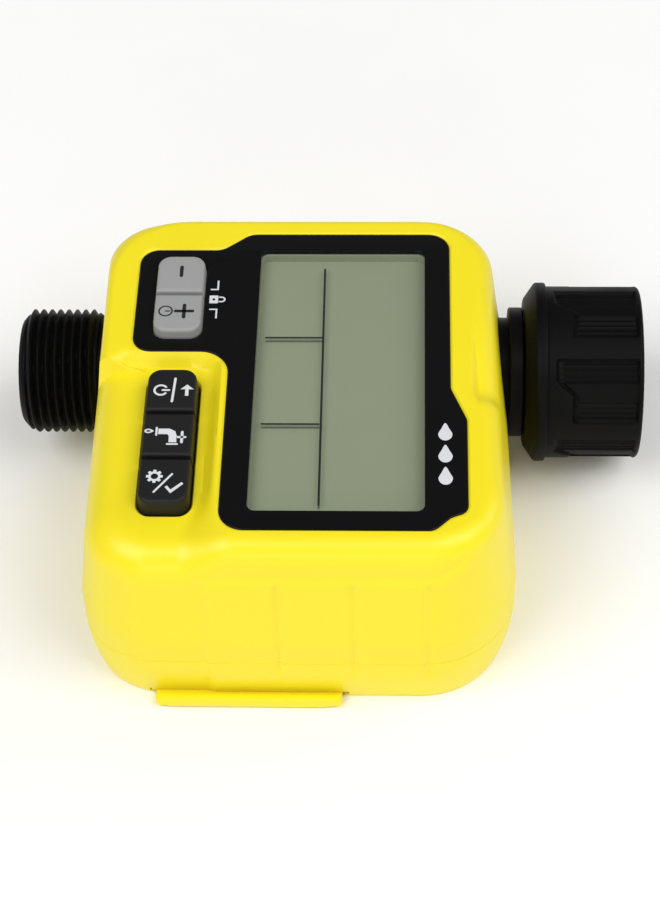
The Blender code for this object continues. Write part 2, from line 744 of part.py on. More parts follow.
def zebra_strips():
    x, y = window_limits(LCD_MARGIN - LCD_FRAME_WALL - GAP)
    z = (BOARD_TOP + GAP, LCD_TOP - LCD_THICK - GAP)
    depth = 1.8 * MM
    inner_x = (x[0] + 4 * MM, x[1] - 4 * MM)
    return [box("zebra_strip_1", inner_x, (y[0], y[0] + depth), z),
            box("zebra_strip_2", inner_x, (y[1] - depth, y[1]), z)]


def main_board():
    frame_x, frame_y = window_limits(LCD_MARGIN + GAP)
    x = (KEY_LEFT - KEY_FLANGE, frame_x[1])
    outline = rectangle(x, (frame_y[0] + 2 * MM, frame_y[1] - 2 * MM), 2 * MM)
    holes = []
    for place in board_screw_places():
        radius = BOARD_SCREW + GAP
        angles = [math.tau * i / 12 for i in range(12)]
        holes.append([(place[0] + radius * math.cos(a), place[1] + radius * math.sin(a))
                      for a in angles])
    return flat("main_board", [outline] + holes, BOARD_HEIGHT, BOARD_TOP)


def board_screws():
    low = BOARD_HEIGHT - GAP - 1.1 * MM
    seat = BOARD_HEIGHT - GAP
    tip = CEILING - GAP * 2
    profile = [(low, 0), (low, BOARD_SCREW_HEAD), (seat, BOARD_SCREW_HEAD), (seat, BOARD_SCREW),
               (tip, BOARD_SCREW), (tip, 0)]
    return [turned(f"board_screw_{i + 1}", "Z", (x, y, 0), profile, 16)
            for i, (x, y) in enumerate(board_screw_places())]


def controller_chip():
    high = BOARD_HEIGHT - GAP
    chip_x = WINDOW_MID_X - 4 * MM
    chip_y = WINDOW_MID_Y - 12 * MM
    return box("controller_chip", (chip_x - 4.5 * MM, chip_x + 4.5 * MM),
               (chip_y - 4.5 * MM, chip_y + 4.5 * MM), (high - 1.1 * MM, high))


def key(name, limits, top, ends):
    """One key: a cap with rounded corners at its free ends, side flanges and a foot."""
    y = list(limits)
    radii = [KEY_CORNER if end in ends else 0 for end in ("near", "near", "far", "far")]
    corners = [(KEY_LEFT, y[0]), (KEY_RIGHT, y[0]), (KEY_RIGHT, y[1]), (KEY_LEFT, y[1])]
    flange_top = CEILING - GAP
    flange_low = flange_top - KEY_FLANGE_THICK
    middle = ((KEY_LEFT + KEY_RIGHT) / 2, sum(y) / 2)
    cap = flat(name, [rounded(corners, radii)], flange_low, top)
    flange = box(name + "_flange", (KEY_LEFT - KEY_FLANGE, KEY_RIGHT + KEY_FLANGE),
                 (y[0] + GAP, y[1] - GAP), (flange_low - KEY_FOOT / 4, flange_top))
    foot = cylinder(name + "_foot", "Z", (*middle, 0), KEY_FOOT_RADIUS, flange_low - KEY_FOOT,
                    flange_top, 16)
    combine(cap, "UNION", flange, foot)
    return move_origin(cap, (*middle, top))


def key_row(names, limits, top):
    pitch = (limits[1] - limits[0]) / len(names)
    keys = []
    for index, name in enumerate(names):
        far = limits[1] - pitch * index
        near = far - pitch
        ends = []
        if index == 0:
            ends.append("far")
        else:
            far -= KEY_SPLIT / 2
        if index == len(names) - 1:
            ends.append("near")
        else:
            near += KEY_SPLIT / 2
        keys.append(key(name, (near, far), top, ends))
    return keys


def key_mats():
    z = (BOARD_TOP + GAP, BOARD_TOP + GAP + MAT_THICK)
    x = (KEY_LEFT, KEY_RIGHT)
    return [box("key_mat_1", x, grey_limits(), z), box("key_mat_2", x, black_limits(), z)]


# --- water way --------------------------------------------------------------------------

def ring(name, start, end, inner, outer, centre=PIPE, axis="X", steps=32):
    profile = [(end, outer), (start, outer), (start, inner), (end, inner)]
    return turned(name, axis, centre, profile, steps)


def o_ring(name, along, middle_radius, steps=32):
    wire = RING_THICK / 2
    angles = [math.tau * i / 8 for i in range(8)]
    profile = [(along + wire * math.cos(a), middle_radius + wire * math.sin(a)) for a in angles]
    return turned(name, "X", PIPE, profile, steps)


def thread_profile(start, end, root, crest):
    """Pointed ridges one pitch apart, from start to end, as (place, radius)."""
    turns = int((end - start) / THREAD_PITCH)
    points = []
    for turn in range(turns):
        base = start + turn * THREAD_PITCH
        points += [(base, root), (base + THREAD_PITCH / 2, crest)]
    return points


def inlet_spigot():
    plug_start = BALL_X + SEAT_END + GAP
    groove = (plug_start + 3 * MM, plug_start + 3 * MM + RING_THICK + GAP * 2)
    groove_radius = PLUG - RING_THICK - GAP
    flange_start = INLET_FLANGE - FLANGE_LENGTH
    collar = COLLAR_START
    clip = clip_limits()
    profile = [(plug_start, PLUG), (groove[0], PLUG), (groove[0], groove_radius),
               (groove[1], groove_radius), (groove[1], PLUG), (flange_start, PLUG),
               (flange_start, FLANGE), (INLET_FLANGE, FLANGE), (INLET_FLANGE, NECK),
               (collar, NECK), (collar, COLLAR), (collar + COLLAR_LENGTH, COLLAR),
               (collar + COLLAR_LENGTH, NECK), (clip[0] - GAP, NECK),
               (clip[0] - GAP, CLIP_SEAT), (clip[1] + GAP, CLIP_SEAT), (clip[1] + GAP, NECK),
               (SPIGOT_END, NECK), (SPIGOT_END, MOUTH), (INLET_WALL, MOUTH), (INLET_WALL - 3 * MM, BORE),
               (plug_start, BORE)]
    return turned("inlet_spigot", "X", PIPE, profile)


def clip_limits():
    start = NUT_START + NUT_BACK_WALL + 0.5 * MM
    return start, start + CLIP_WIDTH


def swivel_clip():
    """An open retaining ring between the spigot's groove and the nut's undercut."""
    start, end = clip_limits()
    clip = ring("swivel_clip", start, end, CLIP_SEAT + GAP, THREAD_CREST - GAP)
    mouth = box("clip_mouth", (start - CUT, end + CUT), (AXIS_Y - 3 * MM, AXIS_Y + 3 * MM),
                (PIPE_HEIGHT - THREAD_CREST - CUT, PIPE_HEIGHT))
    return combine(clip, "DIFFERENCE", mouth)


def inlet_nut():
    grip_start = NUT_START + NUT_CHAMFER + NUT_RIM_LENGTH
    undercut_end = NUT_START + NUT_BACK_WALL + CLIP_ROOM
    outside = [(NUT_START, NUT_BACK), (NUT_START + NUT_CHAMFER, NUT_RIM), (grip_start, NUT_RIM),
               (grip_start, NUT_GRIP), (NUT_END - NUT_ROUND, NUT_GRIP), (NUT_END, NUT_GRIP - NUT_ROUND)]
    thread = thread_profile(undercut_end + 0.4 * MM, NUT_END - 1.2 * MM, THREAD_CREST, THREAD_ROOT)
    inside = [(NUT_START, NECK + GAP), (NUT_START + NUT_BACK_WALL, NECK + GAP),
              (NUT_START + NUT_BACK_WALL, THREAD_CREST)] + thread + [(NUT_END, THREAD_CREST)]
    return turned("inlet_nut", "X", PIPE, outside + inside[::-1])


def inlet_washer():
    start = SPIGOT_END + GAP
    return ring("inlet_washer", start, start + WASHER_THICK, WASHER_INNER, WASHER_OUTER)


def inlet_filter():
    """A cup strainer whose rim stands in the washer."""
    rim = SPIGOT_END + WASHER_THICK
    outer = WASHER_INNER - GAP
    tip = rim - FILTER_DEPTH
    profile = [(rim, outer), (SPIGOT_END + GAP, outer), (tip, outer * 0.75), (tip, 0),
               (tip + FILTER_WALL, 0), (tip + FILTER_WALL, outer * 0.75 - FILTER_WALL),
               (rim, outer - FILTER_WALL)]
    return turned("inlet_filter", "X", PIPE, profile, 24)


def outlet_spigot():
    plug_end = VALVE_LEFT + PLUG_LENGTH
    shoulder = VALVE_LEFT - GAP
    groove = (VALVE_LEFT + 3 * MM, VALVE_LEFT + 3 * MM + RING_THICK + GAP * 2)
    groove_radius = OUTLET_PLUG - RING_THICK - GAP
    ridges = thread_profile(THREAD_END + 1.1 * MM, LEFT - THREAD_NECK, THREAD_ROOT, THREAD_CREST)
    outside = [(THREAD_END, THREAD_ROOT - 0.7 * MM), (THREAD_END + 0.7 * MM, THREAD_ROOT)] + ridges
    outside += [(LEFT - THREAD_NECK, THREAD_ROOT), (LEFT - THREAD_NECK, OUTLET_NECK),
                (OUTLET_FLANGE, OUTLET_NECK), (OUTLET_FLANGE, FLANGE),
                (OUTLET_FLANGE + FLANGE_LENGTH, FLANGE), (OUTLET_FLANGE + FLANGE_LENGTH, OUTLET_TUBE),
                (shoulder, OUTLET_TUBE), (shoulder, OUTLET_PLUG), (groove[0], OUTLET_PLUG),
                (groove[0], groove_radius), (groove[1], groove_radius), (groove[1], OUTLET_PLUG),
                (plug_end, OUTLET_PLUG)]
    inside = [(plug_end, BORE), (LEFT + 6 * MM, BORE), (LEFT, MOUTH), (THREAD_END, MOUTH)]
    return turned("outlet_spigot", "X", PIPE, outside + inside)


def valve_body():
    chamber_end = BALL_X - SEAT_END - GAP
    waist = chamber_end - VALVE_WALL
    socket = OUTLET_PLUG + GAP
    socket_end = VALVE_LEFT + PLUG_LENGTH + GAP
    profile = [(VALVE_RIGHT, VALVE_OUTER), (waist, VALVE_OUTER), (waist - 1 * MM, SLEEVE),
               (VALVE_LEFT, SLEEVE), (VALVE_LEFT, socket), (socket_end, socket), (socket_end, BORE),
               (chamber_end, BORE), (chamber_end, CHAMBER), (VALVE_RIGHT, CHAMBER)]
    body = turned("valve_body", "X", PIPE, profile)
    combine(body, "UNION", cylinder("stem_boss", "Y", (BALL_X, 0, PIPE_HEIGHT), BOSS, BOSS_END,
                                    AXIS_Y - CHAMBER - VALVE_WALL / 2, 24))
    combine(body, "DIFFERENCE",
            cylinder("stem_hole", "Y", (BALL_X, 0, PIPE_HEIGHT), STEM + GAP, BOSS_END - CUT, AXIS_Y, 20),
            cylinder("stem_seal_room", "Y", (BALL_X, 0, PIPE_HEIGHT), STEM_SEAL + GAP,
                     BOSS_END - CUT, BOSS_END + STEM_SEAL_THICK + GAP, 20))
    return body


def valve_ball():
    mouth = math.asin(BALL_BORE / BALL)
    steps = 10
    angles = [mouth + (math.pi - 2 * mouth) * i / steps for i in range(steps + 1)]
    profile = [(BALL_X + BALL * math.cos(a), BALL * math.sin(a)) for a in angles]
    ball = turned("valve_ball", "X", PIPE, profile, 28)
    ball.location.x = BALL_X
    ball.data.transform(Matrix.Translation((-BALL_X, 0, 0)))
    half = SLOT_WIDTH / 2
    slot = box("ball_slot", (BALL_X - BALL, BALL_X + BALL), (AXIS_Y - BALL - CUT, slot_floor()),
               (PIPE_HEIGHT - half, PIPE_HEIGHT + half))
    return combine(ball, "DIFFERENCE", slot)


def slot_floor():
    return AXIS_Y - BALL + SLOT_DEPTH


def valve_seats():
    seats = []
    for name, side in (("ball_seat_1", -1), ("ball_seat_2", 1)):
        ends = sorted((BALL_X + side * SEAT_STANDOFF, BALL_X + side * SEAT_END))
        seats.append(ring(name, *ends, SEAT_INNER, CHAMBER - GAP))
    return seats


def valve_stem():
    shaft_start = AXIS_Y - BALL - GAP
    shaft_end = LAYER_A - LAYER - GAP
    stem = cylinder("valve_stem", "Y", (BALL_X, 0, PIPE_HEIGHT), STEM, shaft_end, shaft_start, 20)
    half = SLOT_WIDTH / 2 - GAP
    tongue = box("stem_tongue", (BALL_X - TONGUE / 2, BALL_X + TONGUE / 2),
                 (shaft_start - GAP, slot_floor() - GAP), (PIPE_HEIGHT - half, PIPE_HEIGHT + half))
    trim = ring("stem_tongue_trim", AXIS_Y - BALL - CUT, AXIS_Y, STEM, TONGUE,
                (BALL_X, 0, PIPE_HEIGHT), "Y", 20)
    combine(tongue, "DIFFERENCE", trim)
    combine(stem, "UNION", tongue)
    return move_origin(stem, (BALL_X, shaft_end, PIPE_HEIGHT))


def stem_seal():
    return ring("stem_seal", BOSS_END, BOSS_END + STEM_SEAL_THICK, STEM + GAP, STEM_SEAL,
                (BALL_X, 0, PIPE_HEIGHT), "Y", 20)


# --- gear train -------------------------------------------------------------------------

def train_places():
    """Axes of the output, second and first gears and the pinion, as (x, z)."""
    centre = Vector((BALL_X, PIPE_HEIGHT))
    places = [centre]
    pairs = ((OUTPUT_TEETH, PINION_TEETH), (WHEEL_TEETH, PINION_TEETH), (WHEEL_TEETH, PINION_TEETH))
    for angle, (one, other) in zip(TRAIN_ANGLES, pairs):
        reach = MODULE * (one + other) / 2 + BACKLASH
        turn = math.radians(angle)
        centre = centre + Vector((math.cos(turn), math.sin(turn))) * reach
        places.append(centre)
    return places


def tooth_outline(teeth, phase):
    """Straight-sided teeth about the pitch circle, the first centred on the angle phase."""
    pitch_radius = MODULE * teeth / 2
    tip = pitch_radius + TOOTH_TOP
    root = tip - TOOTH_DEPTH
    outline = []
    for index in range(teeth):
        middle = phase + math.tau * index / teeth
        for width, radius in ((-0.5 * MM, root), (-0.14 * MM, tip), (0.14 * MM, tip), (0.5 * MM, root)):
            angle = middle + width / pitch_radius
            outline.append((radius * math.cos(angle), radius * math.sin(angle)))
    return outline


def bore_outline(radius, sides=16):
    return [(radius * math.cos(math.tau * i / sides), radius * math.sin(math.tau * i / sides))
            for i in range(sides)]


def facing_phase(angle, teeth):
    """The phase that puts a gap at the angle opposite to the driving tooth."""
    return math.radians(angle) + math.pi + math.pi / teeth


def output_gear():
    place = train_places()[0]
    outlines = [tooth_outline(OUTPUT_TEETH, math.radians(TRAIN_ANGLES[0])), bore_outline(STEM + GAP)]
    return flat("output_gear", outlines, LAYER_A - LAYER, LAYER_A, place, "Y")


def compound_gear(name, place, layer, mesh_angle, drive_angle):
    """A small gear in one layer and, joined below it, a large gear in the next."""
    bore = bore_outline(PIN + GAP)
    small = [tooth_outline(PINION_TEETH, facing_phase(mesh_angle, PINION_TEETH)), bore]
    large = [tooth_outline(WHEEL_TEETH, math.radians(drive_angle)), bore]
    wheel_top = layer - LAYER - 0.6 * MM
    wheel = flat(name, large, wheel_top - LAYER + 0.6 * MM, wheel_top, place, "Y")
    core = flat(name + "_small", small, wheel_top - 0.2 * MM, layer, place, "Y")
    return combine(wheel, "UNION", core)


def motor_pinion():
    place = train_places()[3]
    outline = tooth_outline(PINION_TEETH, facing_phase(TRAIN_ANGLES[2], PINION_TEETH))
    gear = flat("motor_pinion", [outline], LAYER_C - LAYER, LAYER_C, place, "Y")
    shaft = cylinder("motor_pinion_shaft", "Y", (place[0], 0, place[1]), PIN, MOTOR_START + GAP,
                     LAYER_C - LAYER / 2, 16)
    return combine(gear, "UNION", shaft)


def case_outline(grow):
    """The smallest outline that holds every gear with clearance, as a chain round circles."""
    radii = [MODULE * OUTPUT_TEETH / 2] + [MODULE * WHEEL_TEETH / 2] * 2 + [MODULE * PINION_TEETH / 2]
    points = []
    for place, radius in zip(train_places(), radii):
        reach = radius + TOOTH_TOP + GAP * 2 + grow
        points += [(place[0] + reach * math.cos(math.tau * i / 24),
                    place[1] + reach * math.sin(math.tau * i / 24)) for i in range(24)]
    return convex_outline(points)


def convex_outline(points):
    ordered = sorted(points)
    halves = []
    for line in (ordered, ordered[::-1]):
        chain = []
        for point in line:
            while len(chain) > 1 and signed_area([chain[-2], chain[-1], point]) <= 0:
                chain.pop()
            chain.append(point)
        halves += chain[:-1]
    return halves


def gear_case():
    outer = case_outline(CASE_WALL)
    case = flat("gear_case", [outer], CASE_END, CASE_START, axis="Y")
    room = flat("gear_room", [case_outline(0)], CASE_END - CUT, CASE_INNER, axis="Y")
    combine(case, "DIFFERENCE", room, cylinder("case_stem_hole", "Y", (BALL_X, 0, PIPE_HEIGHT),
                                               STEM + GAP, CASE_INNER - CUT, CASE_START + CUT, 20))
    for index, place in enumerate(train_places()[1:3]):
        combine(case, "DIFFERENCE", cylinder(f"case_pin_hole_{index}", "Y", (place[0], 0, place[1]),
                                             PIN + GAP, CASE_INNER - CUT, CASE_INNER + PIN_HOLD, 12))
    return case


def gear_cover():
    low = COVER_START - CASE_COVER
    cover = flat("gear_cover", [case_outline(CASE_WALL)], low, COVER_START, axis="Y")
    for index, place in enumerate(train_places()[1:3]):
        combine(cover, "DIFFERENCE", cylinder(f"cover_pin_hole_{index}", "Y", (place[0], 0, place[1]),
                                              PIN + GAP, COVER_START - PIN_HOLD, COVER_START + CUT, 12))
    shaft = train_places()[3]
    return combine(cover, "DIFFERENCE", cylinder("cover_shaft_hole", "Y", (shaft[0], 0, shaft[1]),
                                                 PIN + GAP, low - CUT, COVER_START + CUT, 16))


def gear_pins():
    low = COVER_START - PIN_HOLD + GAP
    high = CASE_INNER + PIN_HOLD - GAP
    return [cylinder(f"gear_pin_{i + 1}", "Y", (place[0], 0, place[1]), PIN, low, high, 12)
            for i, place in enumerate(train_places()[1:3])]


def motor():
    x, z = train_places()[3]
    end = MOTOR_START - MOTOR_LENGTH
    reach = math.acos(MOTOR_HALF_FLAT / MOTOR_RADIUS)
    arc = [-math.pi / 2 + reach + (math.pi - 2 * reach) * i / 10 for i in range(11)]
    outline = [(MOTOR_RADIUS * math.cos(a), MOTOR_RADIUS * math.sin(a)) for a in arc]
    outline += [(-a, -b) for a, b in outline]
    return flat("drive_motor", [outline], end, MOTOR_START, (x, z), "Y")


# --- battery bay ------------------------------------------------------------------------

def cell_places():
    reach = CELL_RADIUS + GAP / 2
    return BAY_MID - reach, BAY_MID + reach


def battery_cell(name, x, nub_end, direction):
    """A cylindrical cell whose nub's tip is at nub_end; direction points from foot to nub."""
    shoulder = CELL_LENGTH - CELL_NUB
    foot = nub_end - direction * CELL_LENGTH
    rounding = 0.5 * MM
    profile = [(0, 0), (0, CELL_RADIUS - rounding), (rounding, CELL_RADIUS),
               (shoulder - rounding, CELL_RADIUS), (shoulder, CELL_RADIUS - rounding),
               (shoulder, 2.7 * MM), (CELL_LENGTH, 2.7 * MM), (CELL_LENGTH, 0)]
    placed = [(foot + direction * along, radius) for along, radius in profile]
    return turned(name, "Y", (x, 0, CELL_HEIGHT), placed, 24)


def contact_spring(name, x, low, high):
    """A short coil between a cell's foot and its contact plate."""
    steps = 18
    radius = 3 * MM
    room = high - low - SPRING_WIRE * 2
    points = []
    for i in range(steps + 1):
        angle = math.tau * SPRING_TURNS * i / steps
        along = low + SPRING_WIRE + room * i / steps
        points.append((x + radius * math.cos(angle), along, CELL_HEIGHT + radius * math.sin(angle)))
    return tube(name, points, SPRING_WIRE)


def battery_parts():
    left, right = cell_places()
    bridge_end = BAY_NEAR + GAP + CONTACT
    plate_start = BAY_FAR - GAP - CONTACT
    cells = [battery_cell("battery_1", left, bridge_end + GAP, -1),
             battery_cell("battery_2", right, plate_start - GAP, 1)]
    springs = [contact_spring("battery_spring_1", left, bridge_end + GAP + CELL_LENGTH + GAP / 2,
                              plate_start - GAP / 2),
               contact_spring("battery_spring_2", right, bridge_end + GAP / 2,
                              plate_start - GAP - CELL_LENGTH - GAP / 2)]
    half = CELL_RADIUS - GAP
    z = (CELL_HEIGHT - half, CELL_HEIGHT + half)
    bridge = box("contact_bridge", (left - half, right + half), (BAY_NEAR + GAP, bridge_end), z)
    plates = []
    for index, x in enumerate((left, right)):
        plate = box(f"contact_plate_{index + 1}", (x - half, x + half), (plate_start, BAY_FAR - GAP), z)
        tag = box(f"contact_tag_{index + 1}", (x - TAG_HALF, x + TAG_HALF),
                  (plate_start, BAY_FAR - GAP), (CELL_HEIGHT, BAY_TOP + BAY_WALL + TAG_RISE))
        plates.append(combine(plate, "UNION", tag))
    return cells, springs, [bridge] + plates


def battery_cover():
    """A sliding plate with a rail along each side and a finger lip at its outer end."""
    x, y = cover_limits()
    low = GAP
    high = GAP + COVER_PLATE
    lip_end = NEAR - LIP_OUT
    cover = flat("battery_cover", [rounded([(x[0], lip_end), (x[1], lip_end), (x[1], y[1]), (x[0], y[1])],
                                           [LIP_CORNER, LIP_CORNER, 0, 0])], low, high)
    rail_x = (x[0] - COVER_RAIL, x[1] + COVER_RAIL)
    rails = box("cover_rails", rail_x, (NEAR + FOOT + GAP, y[1]), (high - COVER_TONGUE, high))
    lip = flat("cover_lip", [rounded([(x[0], lip_end), (x[1], lip_end), (x[1], lip_end + LIP_THICK),
                                      (x[0], lip_end + LIP_THICK)],
                                     [LIP_THICK * 0.8, LIP_THICK * 0.8, 0, 0])],
               high - COVER_TONGUE, LIP_HEIGHT)
    combine(cover, "UNION", rails, lip)
    return move_origin(cover, ((x[0] + x[1]) / 2, lip_end, low))


def leads():
    """Two leads from the motor and two from the cells' tags up to the board's underside."""
    x, z = train_places()[3]
    start = MOTOR_START - MOTOR_LENGTH - GAP - WIRE
    end = BOARD_HEIGHT - GAP - WIRE
    wires = []
    for name, side in (("motor_lead_1", -4 * MM), ("motor_lead_2", 4 * MM)):
        wires.append(tube(name, [(x + side, start + 0.2 * MM, z), (x + side, start - 1.6 * MM, z + 3 * MM),
                                 (x + side, start - 1 * MM, z + 8 * MM),
                                 (x + side, start + 2 * MM, z + 11 * MM), (x + side, start + 5 * MM, end)]))
    top = BAY_TOP + BAY_WALL + TAG_RISE + GAP + WIRE
    tag_y = BAY_FAR - GAP - CONTACT / 2
    for name, x in zip(("battery_lead_1", "battery_lead_2"), cell_places()):
        wires.append(tube(name, [(x, tag_y, top), (x, tag_y - 1 * MM, top + 4 * MM),
                                 (x, tag_y - 3 * MM, top + 9 * MM), (x, tag_y - 4 * MM, end)]))
    return wires


# --- assembly ---------------------------------------------------------------------------

clear_scene()
PARTS = make_collection("drip_irrigation_timer")
CUTTERS = make_collection("cutters")

YELLOW = make_material("yellow_abs", (0.94, 0.80, 0.04), 0.38)
BLACK = make_material("black_plastic", (0.012, 0.012, 0.013), 0.42)
GLOSS = make_material("black_gloss_panel", (0.006, 0.006, 0.007), 0.08)
GREY = make_material("grey_key_rubber", (0.37, 0.37, 0.37), 0.6)
KEY_BLACK = make_material("black_key_rubber", (0.02, 0.021, 0.021), 0.65)
CLEAR = make_material("clear_window", (0.75, 0.78, 0.76), 0.05)
LCD = make_material("lcd_glass", (0.27, 0.30, 0.20), 0.2)
WHITE = make_material("white_plastic", (0.8, 0.8, 0.78), 0.45)
RUBBER = make_material("black_rubber", (0.02, 0.02, 0.02), 0.8)
BOARD = make_material("circuit_board", (0.02, 0.16, 0.06), 0.5)
STEEL = make_material("steel", (0.6, 0.6, 0.62), 0.3, 1.0)
BRASS = make_material("brass", (0.75, 0.55, 0.22), 0.35, 1.0)
CELL = make_material("cell_sleeve", (0.03, 0.06, 0.16), 0.4)
WIRE_RED = make_material("lead_red", (0.5, 0.02, 0.02), 0.5)


def build():
    paint(front_shell(), YELLOW)
    paint(rear_shell(), YELLOW)
    paint(battery_cover(), YELLOW)
    for screw in shell_screws() + board_screws():
        paint(screw, STEEL)
    paint(display_panel(), GLOSS)
    paint(display_lens(), CLEAR)
    paint(lcd_glass(), LCD)
    paint(lcd_frame(), WHITE)
    paint(main_board(), BOARD)
    for piece in (*zebra_strips(), *key_mats(), *neck_seals(), controller_chip()):
        paint(piece, RUBBER)
    for piece in key_row(["minus_key", "plus_key"], grey_limits(), PANEL_TOP + GREY_RISE):
        paint(piece, GREY)
    for piece in key_row(["off_key", "manual_key", "ok_key"], black_limits(), BODY_Z + BLACK_RISE):
        paint(piece, KEY_BLACK)
    build_water_way()
    build_drive()
    build_power()


def build_water_way():
    for piece in (inlet_spigot(), outlet_spigot(), valve_body(), inlet_nut()):
        paint(piece, BLACK)
    for piece in valve_seats():
        paint(piece, WHITE)
    plug_groove = BALL_X + SEAT_END + GAP * 2 + 3 * MM + RING_THICK / 2
    outlet_groove = VALVE_LEFT + 3 * MM + GAP + RING_THICK / 2
    inlet_ring = o_ring("inlet_o_ring", plug_groove, PLUG - RING_THICK / 2)
    outlet_ring = o_ring("outlet_o_ring", outlet_groove, OUTLET_PLUG - RING_THICK / 2)
    for piece in (inlet_washer(), stem_seal(), inlet_ring, outlet_ring):
        paint(piece, RUBBER)
    paint(swivel_clip(), STEEL)
    paint(inlet_filter(), WHITE)
    paint(valve_ball(), STEEL)
    paint(valve_stem(), STEEL)


def build_drive():
    places = train_places()
    paint(output_gear(), WHITE)
    paint(compound_gear("second_gear", places[1], LAYER_A, TRAIN_ANGLES[0], TRAIN_ANGLES[1]), WHITE)
    paint(compound_gear("first_gear", places[2], LAYER_B, TRAIN_ANGLES[1], TRAIN_ANGLES[2]), WHITE)
    paint(motor_pinion(), BRASS)
    paint(gear_case(), BLACK)
    paint(gear_cover(), BLACK)
    for pin in gear_pins():
        paint(pin, STEEL)
    paint(motor(), STEEL)


def build_power():
    cells, springs, plates = battery_parts()
    for cell in cells:
        paint(cell, CELL)
    for piece in springs + plates:
        paint(piece, STEEL)
    for wire in leads():
        paint(wire, WIRE_RED)


build()
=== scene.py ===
"""Drip irrigation timer: the finished surfaces of its housing, display, keys and water way."""

import json
import math

import bmesh
import bpy
import numpy as np
from mathutils import Matrix, Vector


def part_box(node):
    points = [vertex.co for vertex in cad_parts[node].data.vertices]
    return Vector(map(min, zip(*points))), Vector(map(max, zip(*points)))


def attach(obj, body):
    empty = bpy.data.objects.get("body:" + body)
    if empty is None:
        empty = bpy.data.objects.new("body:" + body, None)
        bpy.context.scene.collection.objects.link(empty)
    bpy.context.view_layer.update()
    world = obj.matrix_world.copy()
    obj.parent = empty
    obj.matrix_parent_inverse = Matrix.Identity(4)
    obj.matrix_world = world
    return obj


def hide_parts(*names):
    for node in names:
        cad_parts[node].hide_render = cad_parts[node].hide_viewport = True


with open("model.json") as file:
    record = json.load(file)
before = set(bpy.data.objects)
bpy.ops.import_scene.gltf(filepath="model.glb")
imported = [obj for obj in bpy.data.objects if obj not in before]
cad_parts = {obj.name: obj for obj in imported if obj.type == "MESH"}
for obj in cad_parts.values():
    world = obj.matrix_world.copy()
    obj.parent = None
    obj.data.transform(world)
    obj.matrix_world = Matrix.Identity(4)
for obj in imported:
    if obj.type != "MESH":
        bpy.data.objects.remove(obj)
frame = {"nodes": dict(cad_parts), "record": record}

bl_info = {
    "name": "Drip irrigation timer",
    "version": (1, 0, 0),
    "blender": (4, 5, 0),
    "location": "3D View > Sidebar > Timer",
    "description": "Builds the finished look of a drip irrigation timer on its frame",
    "category": "Object",
}

MM = 0.001


# --- sizes and colours ------------------------------------------------------------------

def linear(hex_colour):
    """An sRGB hex colour as linear red, green and blue."""
    values = [int(hex_colour[i:i + 2], 16) / 255 for i in (1, 3, 5)]
    return tuple(v / 12.92 if v <= 0.04045 else ((v + 0.055) / 1.055) ** 2.4 for v in values)


def length(name, description, millimetres):
    """A length with its default in millimetres."""
    return bpy.props.FloatProperty(name=name, description=description, default=millimetres * MM,
                                   unit="LENGTH", precision=5)


def colour(name, description, hex_colour):
    """A colour with its default as a hex value."""
    return bpy.props.FloatVectorProperty(name=name, description=description, subtype="COLOR",
                                         default=linear(hex_colour), min=0, max=1)


class TimerSizes(bpy.types.PropertyGroup):
    """Sizes of the visible surfaces."""
    near_left: length("Near left corner", "Plan radius of the corner beside the battery lip", 15.9)
    near_right: length("Near right corner", "Plan radius of the corner under the display", 19.1)
    far_right: length("Far right corner", "Plan radius of the corner behind the nut", 15.5)
    far_left: length("Far left corner", "Plan radius of the corner behind the thread", 12.6)
    taper: length("Taper", "How much narrower the far end is on the nut's side", 2.2)
    top_edge: length("Top edge", "Radius of the soft edge round the top", 6.3)
    plateau_edge: length("Raised field edge", "Radius of the soft edge of the raised field", 1.7)
    foot: length("Foot", "How far the bottom edge draws in", 2.2)
    wall: length("Wall", "Thickness of the housing's wall", 2.2)
    parting: length("Parting line", "Height at which the two shells meet", 14.0)
    plateau_rise: length("Raised field", "Height of the field round the display", 3.0)
    groove: length("Grip groove", "Depth of the grooves in the near wall", 0.45)
    key_edge: length("Key edge", "Radius round the top of a key", 0.7)
    thread_pitch: length("Thread pitch", "Distance between two crests of the pipe thread", 1.814)
    thread_root: length("Thread root", "Radius at the bottom of the thread", 12.06)
    thread_crest: length("Thread crest", "Radius at the top of the thread", 13.22)
    nut_grip: length("Nut grip", "Radius over the raised pads of the nut", 18.3)
    nut_recess: length("Nut recess", "Depth of the recesses between the pads", 0.9)
    rib: length("Nut rib", "Height of the fine ribs in the recesses", 0.3)


class TimerColours(bpy.types.PropertyGroup):
    """Colours of the visible materials."""
    shell: colour("Housing", "Yellow of the moulded housing", "#F6E31C")
    panel: colour("Surround", "Black of the display surround", "#08080A")
    black: colour("Fittings", "Black of the nut and the thread", "#09090A")
    grey_key: colour("Upper keys", "Grey of the two upper keys", "#999A99")
    black_key: colour("Lower keys", "Black of the three lower keys", "#19191A")
    display: colour("Display", "Grey-green of the display's reflector", "#969C84")
    print_white: colour("Print", "White of the printed symbols", "#DADCE0")


def sizes():
    return bpy.context.scene.timer_sizes


def colours():
    return bpy.context.scene.timer_colours


# --- where things are -------------------------------------------------------------------

